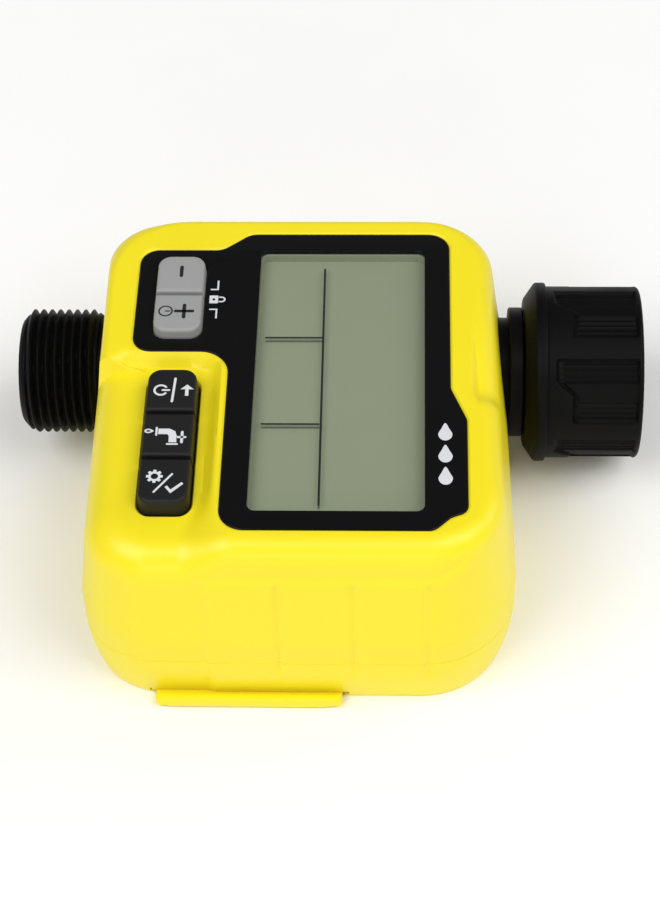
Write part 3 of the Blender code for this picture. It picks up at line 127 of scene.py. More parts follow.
SHELL_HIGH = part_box("front_shell")[1]
REAR_LOW, REAR_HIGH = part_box("rear_shell")
PANEL_LOW, PANEL_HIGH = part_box("display_panel")
LENS_LOW, LENS_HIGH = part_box("display_lens")
LCD_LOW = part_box("lcd_glass")[0]
NUT_LOW, NUT_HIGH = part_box("inlet_nut")
THREAD_LOW, THREAD_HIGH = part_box("outlet_spigot")
INLET_LOW, INLET_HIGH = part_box("inlet_spigot")
COVER_LOW, COVER_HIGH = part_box("battery_cover")
AXIS_Y = (NUT_LOW.y + NUT_HIGH.y) / 2
AXIS_Z = (NUT_LOW.z + NUT_HIGH.z) / 2
BODY_TOP = SHELL_HIGH.z - 3 * MM
KEY_FLANGE = 0.8 * MM
KEY_FLANGE_TOP = 40.5 * MM


# --- mesh helpers -----------------------------------------------------------------------

def finish(piece, angle=35):
    """Smooth shading with sharp edges over an angle."""
    mesh = piece.data
    mesh.polygons.foreach_set("use_smooth", [True] * len(mesh.polygons))
    mesh.set_sharp_from_angle(angle=math.radians(angle))
    mesh.update()
    return piece


def link(name, data):
    """A new object in the scene for a mesh, curve, light or camera."""
    piece = bpy.data.objects.new(name, data)
    bpy.context.scene.collection.objects.link(piece)
    return piece


def outward(mesh, weld=0.0):
    """Turn a mesh's faces outward, after joining the points that are closer than weld."""
    shape = bmesh.new()
    shape.from_mesh(mesh)
    if weld:
        bmesh.ops.remove_doubles(shape, verts=shape.verts, dist=weld)
    bmesh.ops.recalc_face_normals(shape, faces=shape.faces)
    shape.to_mesh(mesh)
    shape.free()


def skin(name, rings, wrap=False):
    """A closed mesh through loops of equal length; wrap joins the last loop to the first."""
    size, count = len(rings[0]), len(rings)
    here = np.arange(size)
    ahead = np.roll(here, -1)
    faces = []
    for low in range(count if wrap else count - 1):
        a, b = low * size, (low + 1) % count * size
        faces += np.stack([a + here, a + ahead, b + ahead, b + here], 1).tolist()
    if not wrap:
        faces += [here[::-1].tolist(), ((count - 1) * size + here).tolist()]
    mesh = bpy.data.meshes.new(name)
    mesh.from_pydata(np.concatenate(rings).tolist(), [], faces)
    outward(mesh)
    return link(name, mesh)


def settle(piece):
    """Turn what the modifiers or the curve give into a plain mesh at the origin."""
    bpy.context.view_layer.update()
    graph = bpy.context.evaluated_depsgraph_get()
    mesh = bpy.data.meshes.new_from_object(piece.evaluated_get(graph))
    mesh.transform(piece.matrix_world)
    name = piece.name
    bpy.data.objects.remove(piece, do_unlink=True)
    return link(name, mesh)


def joined(name, pieces):
    """One mesh object from several, which are removed."""
    shape = bmesh.new()
    for piece in pieces:
        shape.from_mesh(piece.data)
        bpy.data.objects.remove(piece, do_unlink=True)
    mesh = bpy.data.meshes.new(name)
    shape.to_mesh(mesh)
    shape.free()
    return link(name, mesh)


def carve(piece, tools, operation="DIFFERENCE", overlapping=False):
    """Cut the tools from a piece, or join them to it."""
    tool = joined(piece.name + ".tool", tools)
    step = piece.modifiers.new("carve", "BOOLEAN")
    step.operation = operation
    step.solver = "EXACT"
    step.use_self = overlapping
    step.object = tool
    plain = settle(piece)
    bpy.data.objects.remove(tool, do_unlink=True)
    if not plain.data.polygons:
        raise RuntimeError(f"nothing is left of {plain.name} after cutting")
    return plain


def unit(vector):
    """A vector of length one."""
    return vector / np.linalg.norm(vector)


def smooth_loop(corners, radii, arc_steps=8, side_steps=1):
    """An anticlockwise outline with an arc at each corner."""
    count = len(corners)
    arc_steps = [arc_steps] * count if isinstance(arc_steps, int) else arc_steps
    side_steps = [side_steps] * count if isinstance(side_steps, int) else side_steps
    arcs = []
    for i, corner in enumerate(corners):
        here = np.array(corner, float)
        back = unit(np.array(corners[i - 1], float) - here)
        ahead = unit(np.array(corners[(i + 1) % count], float) - here)
        half = math.acos(np.clip(back @ ahead, -1, 1)) / 2
        reach = radii[i] / math.tan(half)
        middle = here + unit(back + ahead) * reach / math.cos(half)
        first, last = here + back * reach - middle, here + ahead * reach - middle
        start = math.atan2(first[1], first[0])
        sweep = (math.atan2(last[1], last[0]) - start + math.pi) % math.tau - math.pi
        turn = start + sweep * np.linspace(0, 1, arc_steps[i])
        arcs.append(middle + radii[i] * np.stack([np.cos(turn), np.sin(turn)], 1))
    outline = []
    for i, arc in enumerate(arcs):
        share = np.arange(1, side_steps[i])[:, None] / side_steps[i]
        outline += [arc, arc[-1] + share * (arcs[(i + 1) % count][0] - arc[-1])]
    return np.concatenate(outline)


def box_corners(x, y):
    """The corners of a box in the plane, anticlockwise from the lowest."""
    return [(x[0], y[0]), (x[1], y[0]), (x[1], y[1]), (x[0], y[1])]


def rectangle(x, y, radius, steps=8):
    """A rectangle with round corners."""
    return smooth_loop(box_corners(x, y), [radius] * 4, steps)


def raised(outline, height):
    """A flat outline as a loop in space; height may differ from point to point."""
    return np.column_stack([outline, np.broadcast_to(height, len(outline))])


def prism(name, outline, low, high):
    """A flat outline made solid between two heights."""
    return skin(name, [raised(outline, low), raised(outline, high)])


def block(name, x, y, z):
    """A box between the given limits."""
    return prism(name, np.array(box_corners(x, y)), z[0], z[1])


def circle(radius, steps, centre=(0, 0)):
    """A round outline."""
    turn = np.arange(steps) * math.tau / steps
    return np.stack([centre[0] + radius * np.cos(turn), centre[1] + radius * np.sin(turn)], 1)


def sheet_print(name, outlines, low, thick, bevel=0.0):
    """Flat shapes with holes, given a thickness; the filled curve is made a plain mesh."""
    curve = bpy.data.curves.new(name, "CURVE")
    curve.dimensions = "2D"
    curve.fill_mode = "BOTH"
    curve.extrude = thick / 2 - bevel
    curve.bevel_depth = bevel
    curve.bevel_resolution = 3
    curve.offset = -bevel
    for outline in outlines:
        spline = curve.splines.new("POLY")
        spline.points.add(len(outline) - 1)
        for point, (x, y) in zip(spline.points, outline):
            point.co = (x, y, 0, 1)
        spline.use_cyclic_u = True
    thing = link(name, curve)
    thing.location.z = low + thick / 2
    plain = settle(thing)
    outward(plain.data, 0.001 * MM)
    return plain


def bar(start, end, width, steps=6):
    """The outline of a stroke with round ends."""
    start, end = np.array(start), np.array(end)
    along = math.atan2(*(end - start)[::-1])
    turn = along + np.linspace(-math.pi / 2, math.pi / 2, steps)
    cap = width / 2 * np.stack([np.cos(turn), np.sin(turn)], 1)
    return np.concatenate([start - cap, end + cap])


def round_loop(x, radius, turns):
    """A ring about the water way; turns counts from the far side, upwards."""
    return np.column_stack([np.full(len(turns), x), AXIS_Y + radius * np.cos(turns),
                            AXIS_Z + radius * np.sin(turns)])


def full_turn(steps):
    """The angles of a ring of so many steps."""
    return np.arange(steps) * math.tau / steps


def dress(piece, finish_name, body, replaced=()):
    """Give a finished piece its material, its body and the CAD nodes it stands for."""
    piece.data.materials.clear()
    piece.data.materials.append(material(finish_name))
    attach(piece, body)
    if replaced:
        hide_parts(*replaced)
    return piece


# --- materials --------------------------------------------------------------------------

def add(tree, kind, inputs=(), **settings):
    """Add a node; inputs maps its sockets to values or to other nodes' sockets."""
    node = tree.nodes.new(kind)
    for name, value in settings.items():
        setattr(node, name, value)
    for key, value in dict(inputs).items():
        if isinstance(value, bpy.types.NodeSocket):
            tree.links.new(value, node.inputs[key])
        else:
            node.inputs[key].default_value = value
    return node


def start_material(name):
    """A new material without nodes but its Object coordinates."""
    made = bpy.data.materials.new(name)
    made.use_nodes = True
    made.node_tree.nodes.clear()
    place = add(made.node_tree, "ShaderNodeTexCoord").outputs["Object"]
    return made, made.node_tree, place


def shade(rgb, factor):
    """A colour made lighter or darker, with its alpha."""
    return tuple(min(1.0, value * factor) for value in rgb[:3]) + (1.0,)


MIX_FACTOR, MIX_A, MIX_B, MIX_RESULT = 0, 6, 7, 2
GLOSS_DRIFT = 18 * MM


def moulded(name, hue, roughness, grain, depth, drift, rough_drift, specular=0.5, sheen=0.0, dark=1.0):
    """Moulded plastic or rubber: the mould's grain, and a slow drift of colour and gloss.

    hue is a hex colour or one of TimerColours. grain is the size of one pit and depth its height,
    in millimetres. dark multiplies the colour.
    """
    rgb = shade(linear(hue) if hue.startswith("#") else getattr(colours(), hue), dark)
    made, tree, place = start_material(name)
    drifting = add(tree, "ShaderNodeTexNoise", {"Vector": place, "Scale": 1 / GLOSS_DRIFT, "Detail": 3.0})
    tint = add(tree, "ShaderNodeMix", {MIX_FACTOR: drifting.outputs["Fac"], MIX_A: shade(rgb, 1 - drift),
                                       MIX_B: shade(rgb, 1 + drift)}, data_type="RGBA")
    pits = add(tree, "ShaderNodeTexNoise", {"Vector": place, "Scale": 1 / (grain * MM), "Detail": 2.0})
    gloss = add(tree, "ShaderNodeMapRange", {"Value": drifting.outputs["Fac"], "From Min": 0.3,
                                             "From Max": 0.7, "To Min": roughness - rough_drift,
                                             "To Max": roughness + rough_drift})
    bump = add(tree, "ShaderNodeBump", {"Height": pits.outputs["Fac"], "Strength": 1.0,
                                        "Distance": depth * MM})
    shader = add(tree, "ShaderNodeBsdfPrincipled", {
        "Base Color": tint.outputs[MIX_RESULT], "Roughness": gloss.outputs["Result"],
        "Normal": bump.outputs["Normal"], "Specular IOR Level": specular, "Sheen Weight": sheen})
    add(tree, "ShaderNodeOutputMaterial", {"Surface": shader.outputs["BSDF"]})
    return made


def metal(name, hue, roughness, grain, depth, stretch):
    """Bare metal with the fine lines or specks left by its making; grain and depth in millimetres."""
    made, tree, place = start_material(name)
    placed = add(tree, "ShaderNodeMapping", {"Vector": place, "Scale": stretch})
    lines = add(tree, "ShaderNodeTexNoise", {"Vector": placed.outputs["Vector"],
                                             "Scale": 1 / (grain * MM), "Detail": 4.0})
    gloss = add(tree, "ShaderNodeMapRange", {"Value": lines.outputs["Fac"], "From Min": 0.3,
                                             "From Max": 0.7, "To Min": roughness * 0.7,
                                             "To Max": roughness * 1.35})
    tint = add(tree, "ShaderNodeMix", {MIX_FACTOR: lines.outputs["Fac"], MIX_A: shade(linear(hue), 0.88),
                                       MIX_B: shade(linear(hue), 1.05)}, data_type="RGBA")
    bump = add(tree, "ShaderNodeBump", {"Height": lines.outputs["Fac"], "Strength": 1.0,
                                        "Distance": depth * MM})
    shader = add(tree, "ShaderNodeBsdfPrincipled", {
        "Base Color": tint.outputs[MIX_RESULT], "Metallic": 1.0, "Roughness": gloss.outputs["Result"],
        "Normal": bump.outputs["Normal"]})
    add(tree, "ShaderNodeOutputMaterial", {"Surface": shader.outputs["BSDF"]})
    return made


def cell_sleeve(name, dark, light, band_from):
    """Heat-shrunk printed sleeve of a dry cell: glossy, with a light band round one end."""
    made, tree, place = start_material(name)
    parts = add(tree, "ShaderNodeSeparateXYZ", {"Vector": place})
    band = add(tree, "ShaderNodeMath", {0: parts.outputs["Y"], 1: band_from}, operation="GREATER_THAN")
    film = add(tree, "ShaderNodeTexNoise", {"Vector": place, "Scale": 1 / (3 * MM), "Detail": 3.0})
    tint = add(tree, "ShaderNodeMix", {MIX_FACTOR: band.outputs[0], MIX_A: (*linear(dark), 1),
                                       MIX_B: (*linear(light), 1)}, data_type="RGBA")
    bump = add(tree, "ShaderNodeBump", {"Height": film.outputs["Fac"], "Strength": 1.0,
                                        "Distance": 0.01 * MM})
    shader = add(tree, "ShaderNodeBsdfPrincipled", {
        "Base Color": tint.outputs[MIX_RESULT], "Roughness": 0.22, "Normal": bump.outputs["Normal"]})
    add(tree, "ShaderNodeOutputMaterial", {"Surface": shader.outputs["BSDF"]})
    return made


def board_mask(name, mask, mask_two, track):
    """Glass-epoxy board under solder mask: the copper tracks show as lighter lines."""
    made, tree, place = start_material(name)
    tracks = add(tree, "ShaderNodeTexBrick", {
        "Vector": place, "Scale": 1 / (4 * MM), "Mortar Size": 0.06, "Color1": (*linear(mask), 1),
        "Color2": (*linear(mask_two), 1), "Mortar": (*linear(track), 1)})
    bump = add(tree, "ShaderNodeBump", {"Height": tracks.outputs["Fac"], "Strength": 1.0,
                                        "Distance": 0.03 * MM})
    shader = add(tree, "ShaderNodeBsdfPrincipled", {
        "Base Color": tracks.outputs["Color"], "Roughness": 0.35, "Normal": bump.outputs["Normal"]})
    add(tree, "ShaderNodeOutputMaterial", {"Surface": shader.outputs["BSDF"]})
    return made


def clear_window(name, ior):
    """Clear sheet that shows what is behind it; only its outer side mirrors, more at low angles."""
    made, tree, place = start_material(name)
    marks = add(tree, "ShaderNodeTexNoise", {"Vector": place, "Scale": 1 / (9 * MM), "Detail": 3.0})
    gloss = add(tree, "ShaderNodeMapRange", {"Value": marks.outputs["Fac"], "To Min": 0.03,
                                             "To Max": 0.09})
    through = add(tree, "ShaderNodeBsdfTransparent", {"Color": (0.97, 0.98, 0.97, 1)})
    shine = add(tree, "ShaderNodeBsdfGlossy", {"Roughness": gloss.outputs["Result"]})
    edge = add(tree, "ShaderNodeFresnel", {"IOR": ior})
    inside = add(tree, "ShaderNodeNewGeometry").outputs["Backfacing"]
    outside = add(tree, "ShaderNodeMath", {0: 1.0, 1: inside}, operation="SUBTRACT")
    share = add(tree, "ShaderNodeMath", {0: edge.outputs["Fac"], 1: outside.outputs[0]},
                operation="MULTIPLY")
    both = add(tree, "ShaderNodeMixShader", {0: share.outputs[0], 1: through.outputs["BSDF"],
                                             2: shine.outputs["BSDF"]})
    add(tree, "ShaderNodeOutputMaterial", {"Surface": both.outputs["Shader"]})
    return made


RECIPES = {
    # Injection-moulded ABS from a finely eroded mould: satin, with soft wide highlights.
    "moulded_yellow_abs": (moulded, "shell", 0.36, 0.45, 0.006, 0.012, 0.03, 0.45),
    # Polished black polycarbonate sheet: mirror-smooth, with faint wiping marks in the gloss.
    "polished_black_polycarbonate": (moulded, "panel", 0.1, 2.5, 0.001, 0.1, 0.03, 0.22),
    # Glass-filled nylon from a sandblasted mould: dull, with a fine grain that breaks the light.
    "moulded_black_nylon": (moulded, "black", 0.5, 0.35, 0.012, 0.12, 0.07, 0.08),
    # Compression-moulded silicone rubber: matt with a soft sheen at the edges.
    "moulded_grey_silicone": (moulded, "grey_key", 0.55, 0.3, 0.006, 0.02, 0.05, 0.5, 0.15),
    # The same rubber in black, a little dusty.
    "moulded_black_silicone": (moulded, "black_key", 0.5, 0.3, 0.006, 0.1, 0.06, 0.25),
    # Screen-printed ink: flat, with a slightly uneven cover.
    "screen_printed_white_ink": (moulded, "print_white", 0.5, 0.25, 0.002, 0.04, 0.06),
    "screen_printed_black_ink": (moulded, "#17181A", 0.5, 0.25, 0.002, 0.1, 0.06),
    # The display's rear film: pearly grey-green, with a very fine sparkle of its beads.
    "beaded_reflector_film": (moulded, "display", 0.5, 0.3, 0.004, 0.02, 0.05),
    # Painted shadow: a darker copy of the film that stands in for the shade a dark segment casts on it.
    "shaded_reflector_film": (moulded, "display", 0.5, 0.3, 0.004, 0.03, 0.06, 0.5, 0.0, 0.42),
    # Acetal, moulded: milky white and slightly waxy.
    "moulded_white_acetal": (moulded, "#E6E5DF", 0.38, 0.4, 0.004, 0.02, 0.04),
    # EPDM sealing rubber: dull black with a faint bloom.
    "moulded_epdm_rubber": (moulded, "#1B1B1C", 0.72, 0.25, 0.01, 0.2, 0.08),
    # PVC lead insulation: extruded, slightly glossy.
    "extruded_red_pvc": (moulded, "#B01B18", 0.4, 0.3, 0.003, 0.05, 0.05),
    # Matt white studio floor with a barely visible unevenness.
    "matt_white_floor": (moulded, "#FDFDFD", 0.9, 6, 0.01, 0.01, 0.02),
    # Zinc-plated steel: bright grey with fine crystalline specks.
    "zinc_plated_steel": (metal, "#B9BCC0", 0.3, 0.4, 0.003, (1, 1, 1)),
    # Turned brass: warm, with fine rings left by the tool along the shaft.
    "turned_brass": (metal, "#C9A25A", 0.28, 0.2, 0.003, (1, 6, 1)),
    # Dark blue film with a silver band.
    "shrunk_cell_sleeve": (cell_sleeve, "#1D2C5C", "#B8BCC4", -6 * MM),
    # Green solder mask over copper.
    "solder_masked_board": (board_mask, "#0C4A26", "#0E5129", "#2E7F45"),
    # Clear acrylic sheet.
    "clear_acrylic": (clear_window, 1.49),
}
MADE = {}


def material(name):
    """The named material, made when it is first asked for."""
    if name not in MADE:
        maker, *values = RECIPES[name]
        MADE[name] = maker(name, *values)
    return MADE[name]


# --- housing ----------------------------------------------------------------------------

ARC_STEPS = (34, 40, 36, 30)
SIDE_STEPS = (112, 64, 60, 64)
LEAN = 2.5 / 20
LEAN_START = 20 * MM


def wall_loop(inset):
    """The outline of the housing's widest section, drawn in by inset."""
    s = sizes()
    left, right = REAR_LOW.x + inset, REAR_HIGH.x + 0.45 * MM - inset
    near, far = REAR_LOW.y - 0.35 * MM + inset, REAR_HIGH.y - inset
    corners = [(left, near), (right, near), (right - s.taper, far), (left - 1.0 * MM, far)]
    radii = [s.near_left - inset, s.near_right - inset, s.far_right - inset, s.far_left - inset]
    return smooth_loop(corners, radii, ARC_STEPS, SIDE_STEPS)


def wall_and_way():
    """The housing's widest outline, and for each point the way it goes as the outline draws in."""
    base = wall_loop(0.0)
    return base, (wall_loop(1 * MM) - base) / MM


def corner_pull(base, inward):
    """How much further in the raised field's wider corners lie, measured along each point's way in."""
    inset = 5 * MM
    inner = wall_loop(inset)
    low, high = inner.min(0), inner.max(0)
    target = smooth_loop([tuple(low), (high[0], low[1]), (high[0] - sizes().taper, high[1]),
                          (low[0], high[1])], [14 * MM, 15 * MM, 13 * MM, 15 * MM], 24)
    near, far = np.zeros(len(base)), np.full(len(base), 25 * MM)
    for _ in range(16):
        middle = (near + far) / 2
        inside = signed_distance(base + inward * middle[:, None], target) > 0
        near, far = np.where(inside, near, middle), np.where(inside, middle, far)
    return np.maximum(far - inset, 0)


def rim_loop(share, pull):
    """Where the top becomes flat for a share of the raised field, and the radius of the edge there."""
    s = sizes()
    base, inward = wall_and_way()
    way = inward / np.linalg.norm(inward, axis=1)[:, None]
    to_right = np.clip(-way[:, 0], 0, 1) ** 2
    soft = np.maximum(np.clip(way[:, 1], 0, 1), 0.8 * to_right)
    shelf = s.top_edge - 2.2 * MM * to_right
    field = s.plateau_edge + 2.9 * MM * soft
    corner = pull * share * (1 - soft)
    edge = shelf + (field - shelf) * share + 1.3 * corner
    lean = (BODY_TOP + s.plateau_rise * share - LEAN_START) * LEAN
    return base + inward * (lean + edge - 0.3 * corner)[:, None], edge


def field_outline():
    """The middle of the soft step round the raised field, past the walls where it runs out to them."""
    out = 90 * MM
    step = -21.9 * MM
    shelf = 6.5 * MM
    corners = [(step, -out), (out, -out), (out, -22 * MM), (38 * MM, -20 * MM), (30.4 * MM, -3.2 * MM),
               (32.2 * MM, 45 * MM), (34 * MM, out), (-out, out), (-out, -13 * MM),
               (-49 * MM, -12 * MM), (-42.5 * MM, shelf), (step, shelf)]
    radii = (1, 1, 1, 6, 7, 20, 1, 1, 1, 4, 6, 4)
    return smooth_loop(corners, [radius * MM for radius in radii], 10)


def signed_distance(places, outline):
    """Distance from each place to a closed outline, positive inside."""
    start, end = outline, np.roll(outline, -1, 0)
    run = end - start
    size = np.maximum((run ** 2).sum(1), 1e-18)
    nearest = np.full(len(places), 1e9)
    inside = np.zeros(len(places), bool)
    for a, b, way, square in zip(start, end, run, size):
        share = np.clip(((places - a) @ way) / square, 0, 1)[:, None]
        nearest = np.minimum(nearest, np.linalg.norm(places - a - share * way, axis=1))
        crosses = (a[1] > places[:, 1]) != (b[1] > places[:, 1])
        if crosses.any():
            reach = a[0] + (places[:, 1] - a[1]) * way[0] / (way[1] if way[1] else 1e-18)
            inside ^= crosses & (places[:, 0] < reach)
    return np.where(inside, nearest, -nearest)


def smooth_step(value, low, high):
    """0 below low, 1 above high, and a smooth rise between them."""
    share = np.clip((value - low) / (high - low), 0, 1)
    return share * share * (3 - 2 * share)


def field_share(places, outline):
    """0 on the low shelf beside the lower keys, 1 on the raised field."""
    spread = 1 + 3 * smooth_step(-places[:, 1], 27 * MM, 41 * MM)
    return smooth_step(signed_distance(places, outline) / spread, -1.5 * MM, 1.3 * MM)


GRIP_EDGES = (-22.5 * MM, -8.5 * MM, 6.3 * MM, 21.2 * MM)
GRIP_TOP = 37.5 * MM


def grip_relief(x, z):
    """How far the near wall stands out at a place: shallow panels between soft grooves."""
    s = sizes()
    depth = s.groove
    border = smooth_loop([(GRIP_EDGES[0], -60 * MM), (80 * MM, -60 * MM), (80 * MM, GRIP_TOP + 12 * MM),
                          (33 * MM, GRIP_TOP + 8 * MM), (24 * MM, GRIP_TOP), (GRIP_EDGES[0], GRIP_TOP)],
                         [1 * MM, 1 * MM, 1 * MM, 6 * MM, 8 * MM, 4 * MM], 10)
    away = signed_distance(np.stack([x, z], 1), border)
    relief = depth * smooth_step(away, -0.6 * MM, 0.4 * MM)
    fade = smooth_step(z, 9 * MM, 12 * MM) * smooth_step(away, 0.0, 1.5 * MM)
    for edge in GRIP_EDGES[1:]:
        relief -= depth * 1.2 * np.exp(-((x - edge) / (0.75 * MM)) ** 2) * fade
    return relief


def near_share(loop, inward):
    """1 where the wall faces the near side, falling to 0 round the corners."""
    return smooth_step(inward[:, 1], 0.55, 0.95) * (loop[:, 1] < 0)


def stood_out(loop, inward, height):
    """A wall loop at a height with the grip relief added."""
    facing = near_share(loop, inward)
    relief = grip_relief(loop[:, 0], np.broadcast_to(height, len(loop)).astype(float)) * facing
    return loop - inward * (relief - sizes().groove * facing)[:, None]


def front_skin():
    """The display-side shell: lip, leaning walls, soft edge, raised field and the hollow under it."""
    s = sizes()
    base, inward = wall_and_way()
    outline = field_outline()
    low = s.parting + 0.03 * MM
    share = np.full(len(base), 0.5)
    pull = corner_pull(base, inward)
    for _ in range(40):
        share = 0.7 * share + 0.3 * field_share(rim_loop(share, pull)[0], outline)
    flat, edge = rim_loop(share, pull)
    top = BODY_TOP + s.plateau_rise * share
    rings = []
    lip = 0.12 * MM
    for height, inset in ((low, lip), (low + lip, 0.0)):
        rings.append(raised(stood_out(base + inward * inset, inward, height), height))
    for step in np.linspace(0, 1, 38)[1:]:
        height = low + lip + (top - edge - low - lip) * step
        lean = np.maximum(0, height - LEAN_START) * LEAN
        loop = stood_out(base + inward * lean[:, None], inward, height)
        rings.append(raised(loop, height))
    foot = rings[-1][:, :2]
    drift = (edge * LEAN)[:, None]
    for turn in np.linspace(0, math.pi / 2, 15)[1:]:
        height = top - edge + edge * math.sin(turn)
        lean = inward * drift * math.sin(turn)
        across = flat - foot - inward * drift
        rings.append(raised(foot + lean + across * (1 - math.cos(turn)), height))
    rim = rings[-1][:, :2]
    spine = np.column_stack([np.full(len(rim), 3 * MM), np.clip(rim[:, 1], -18 * MM, 18 * MM)])
    for reach in np.linspace(0, 0.9, 60)[1:]:
        loop = rim + (spine - rim) * reach
        rings.append(raised(loop, BODY_TOP + s.plateau_rise * field_share(loop, outline)))
    ceiling = BODY_TOP - s.wall
    inner = base + inward * (s.wall + (ceiling - LEAN_START) * LEAN + 1.5 * MM)
    for reach in (0.9, 0.5, 0.2, 0.0):
        rings.append(raised(inner + (spine - inner) * reach, ceiling))
    lean = (BODY_TOP - 6 * MM - LEAN_START) * LEAN
    rings.append(raised(base + inward * (s.wall + lean), BODY_TOP - 6 * MM))
    rings.append(raised(base + inward * s.wall, LEAN_START))
    rings.append(raised(base + inward * s.wall, low))
    return skin("housing_front", rings, wrap=True)


def window_box(grow=0.0):
    """The limits of the opening that the window shows through."""
    x = (LENS_LOW.x + 1.2 * MM - grow, LENS_HIGH.x - 1.2 * MM + grow)
    y = (LENS_LOW.y + 1.2 * MM - grow, LENS_HIGH.y - 1.2 * MM + grow)
    return x, y


def surround_outline(grow=0.0):
    """The display surround with its lobe round the upper keys."""
    left, right = PANEL_LOW.x - grow, PANEL_HIGH.x + grow
    near, far = PANEL_LOW.y - grow, PANEL_HIGH.y + grow
    upper_right = right - 3.2 * MM
    lobe_near, lobe_far = 7.45 * MM - grow, 36.2 * MM + grow
    step = -19.5 * MM - grow
    corners = [(left, lobe_near), (step, lobe_near), (step, near), (right - 6.6 * MM, near),
               (right - 3.4 * MM, near + 3.2 * MM), (right, near + 4.6 * MM), (right, -10.6 * MM),
               (upper_right, -2.4 * MM), (upper_right, far), (-16.6 * MM, far),
               (-22.4 * MM, lobe_far), (left, lobe_far)]
    radii = [3.9 * MM, 5.8 * MM, 5 * MM, 2.6 * MM, 2.6 * MM, 2.4 * MM, 4 * MM, 4 * MM, 4.4 * MM,
             4 * MM, 4 * MM, 3.9 * MM]
    return smooth_loop(corners, radii, 10)


def key_box(nodes, grow=0.0):
    """The limits of a row of keys without their flanges."""
    lows, highs = zip(*(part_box(node) for node in nodes))
    x = (min(v.x for v in lows) + KEY_FLANGE - grow, max(v.x for v in highs) - KEY_FLANGE + grow)
    y = (min(v.y for v in lows) - grow, max(v.y for v in highs) + grow)
    return x, y


UPPER_KEYS = ("minus_key", "plus_key")
LOWER_KEYS = ("off_key", "manual_key", "ok_key")
KEY_CORNER = 3.0 * MM


def passages():
    """Tools that open the end walls round the outlet and the inlet."""
    left = (REAR_LOW.x - 5 * MM, REAR_LOW.x + 6 * MM)
    right = (REAR_HIGH.x - 8 * MM, REAR_HIGH.x + 5 * MM)
    turns = full_turn(96)
    return [skin(name, [round_loop(x, radius, turns) for x in span])
            for name, radius, span in (("outlet.neck", 11.8 * MM, left), ("inlet.neck", 12.0 * MM, right))]


def build_front():
    """The front shell with its pocket for the surround and its openings for the keys and necks."""
    shell = front_skin()
    above = SHELL_HIGH.z + 5 * MM
    below = BODY_TOP - 12 * MM
    pocket_floor = PANEL_LOW.z - 0.05 * MM
    window_x, window_y = window_box(2.6 * MM)
    upper = rectangle(*key_box(UPPER_KEYS, 0.25 * MM), KEY_CORNER)
    lower = [raised(rectangle(*key_box(LOWER_KEYS, grow), KEY_CORNER), z) for grow, z in
             ((0.2 * MM, below), (0.2 * MM, BODY_TOP - 0.45 * MM), (0.5 * MM, BODY_TOP + 0.02 * MM),
              (0.5 * MM, above))]
    pocket = [raised(surround_outline(grow), z) for grow, z in
              ((0.12 * MM, pocket_floor), (0.12 * MM, PANEL_HIGH.z - 0.15 * MM),
               (0.5 * MM, SHELL_HIGH.z + 0.01 * MM), (0.5 * MM, above))]
    shell = carve(shell, [skin("pocket", pocket)])
    shell = carve(shell, [prism("window", rectangle(window_x, window_y, 1.6 * MM), below, above),
                          prism("upper", upper, below, above), skin("lower", lower)] + passages())
    finish(shell, 38)
    dress(shell, "moulded_yellow_abs", "housing", ["front_shell"])


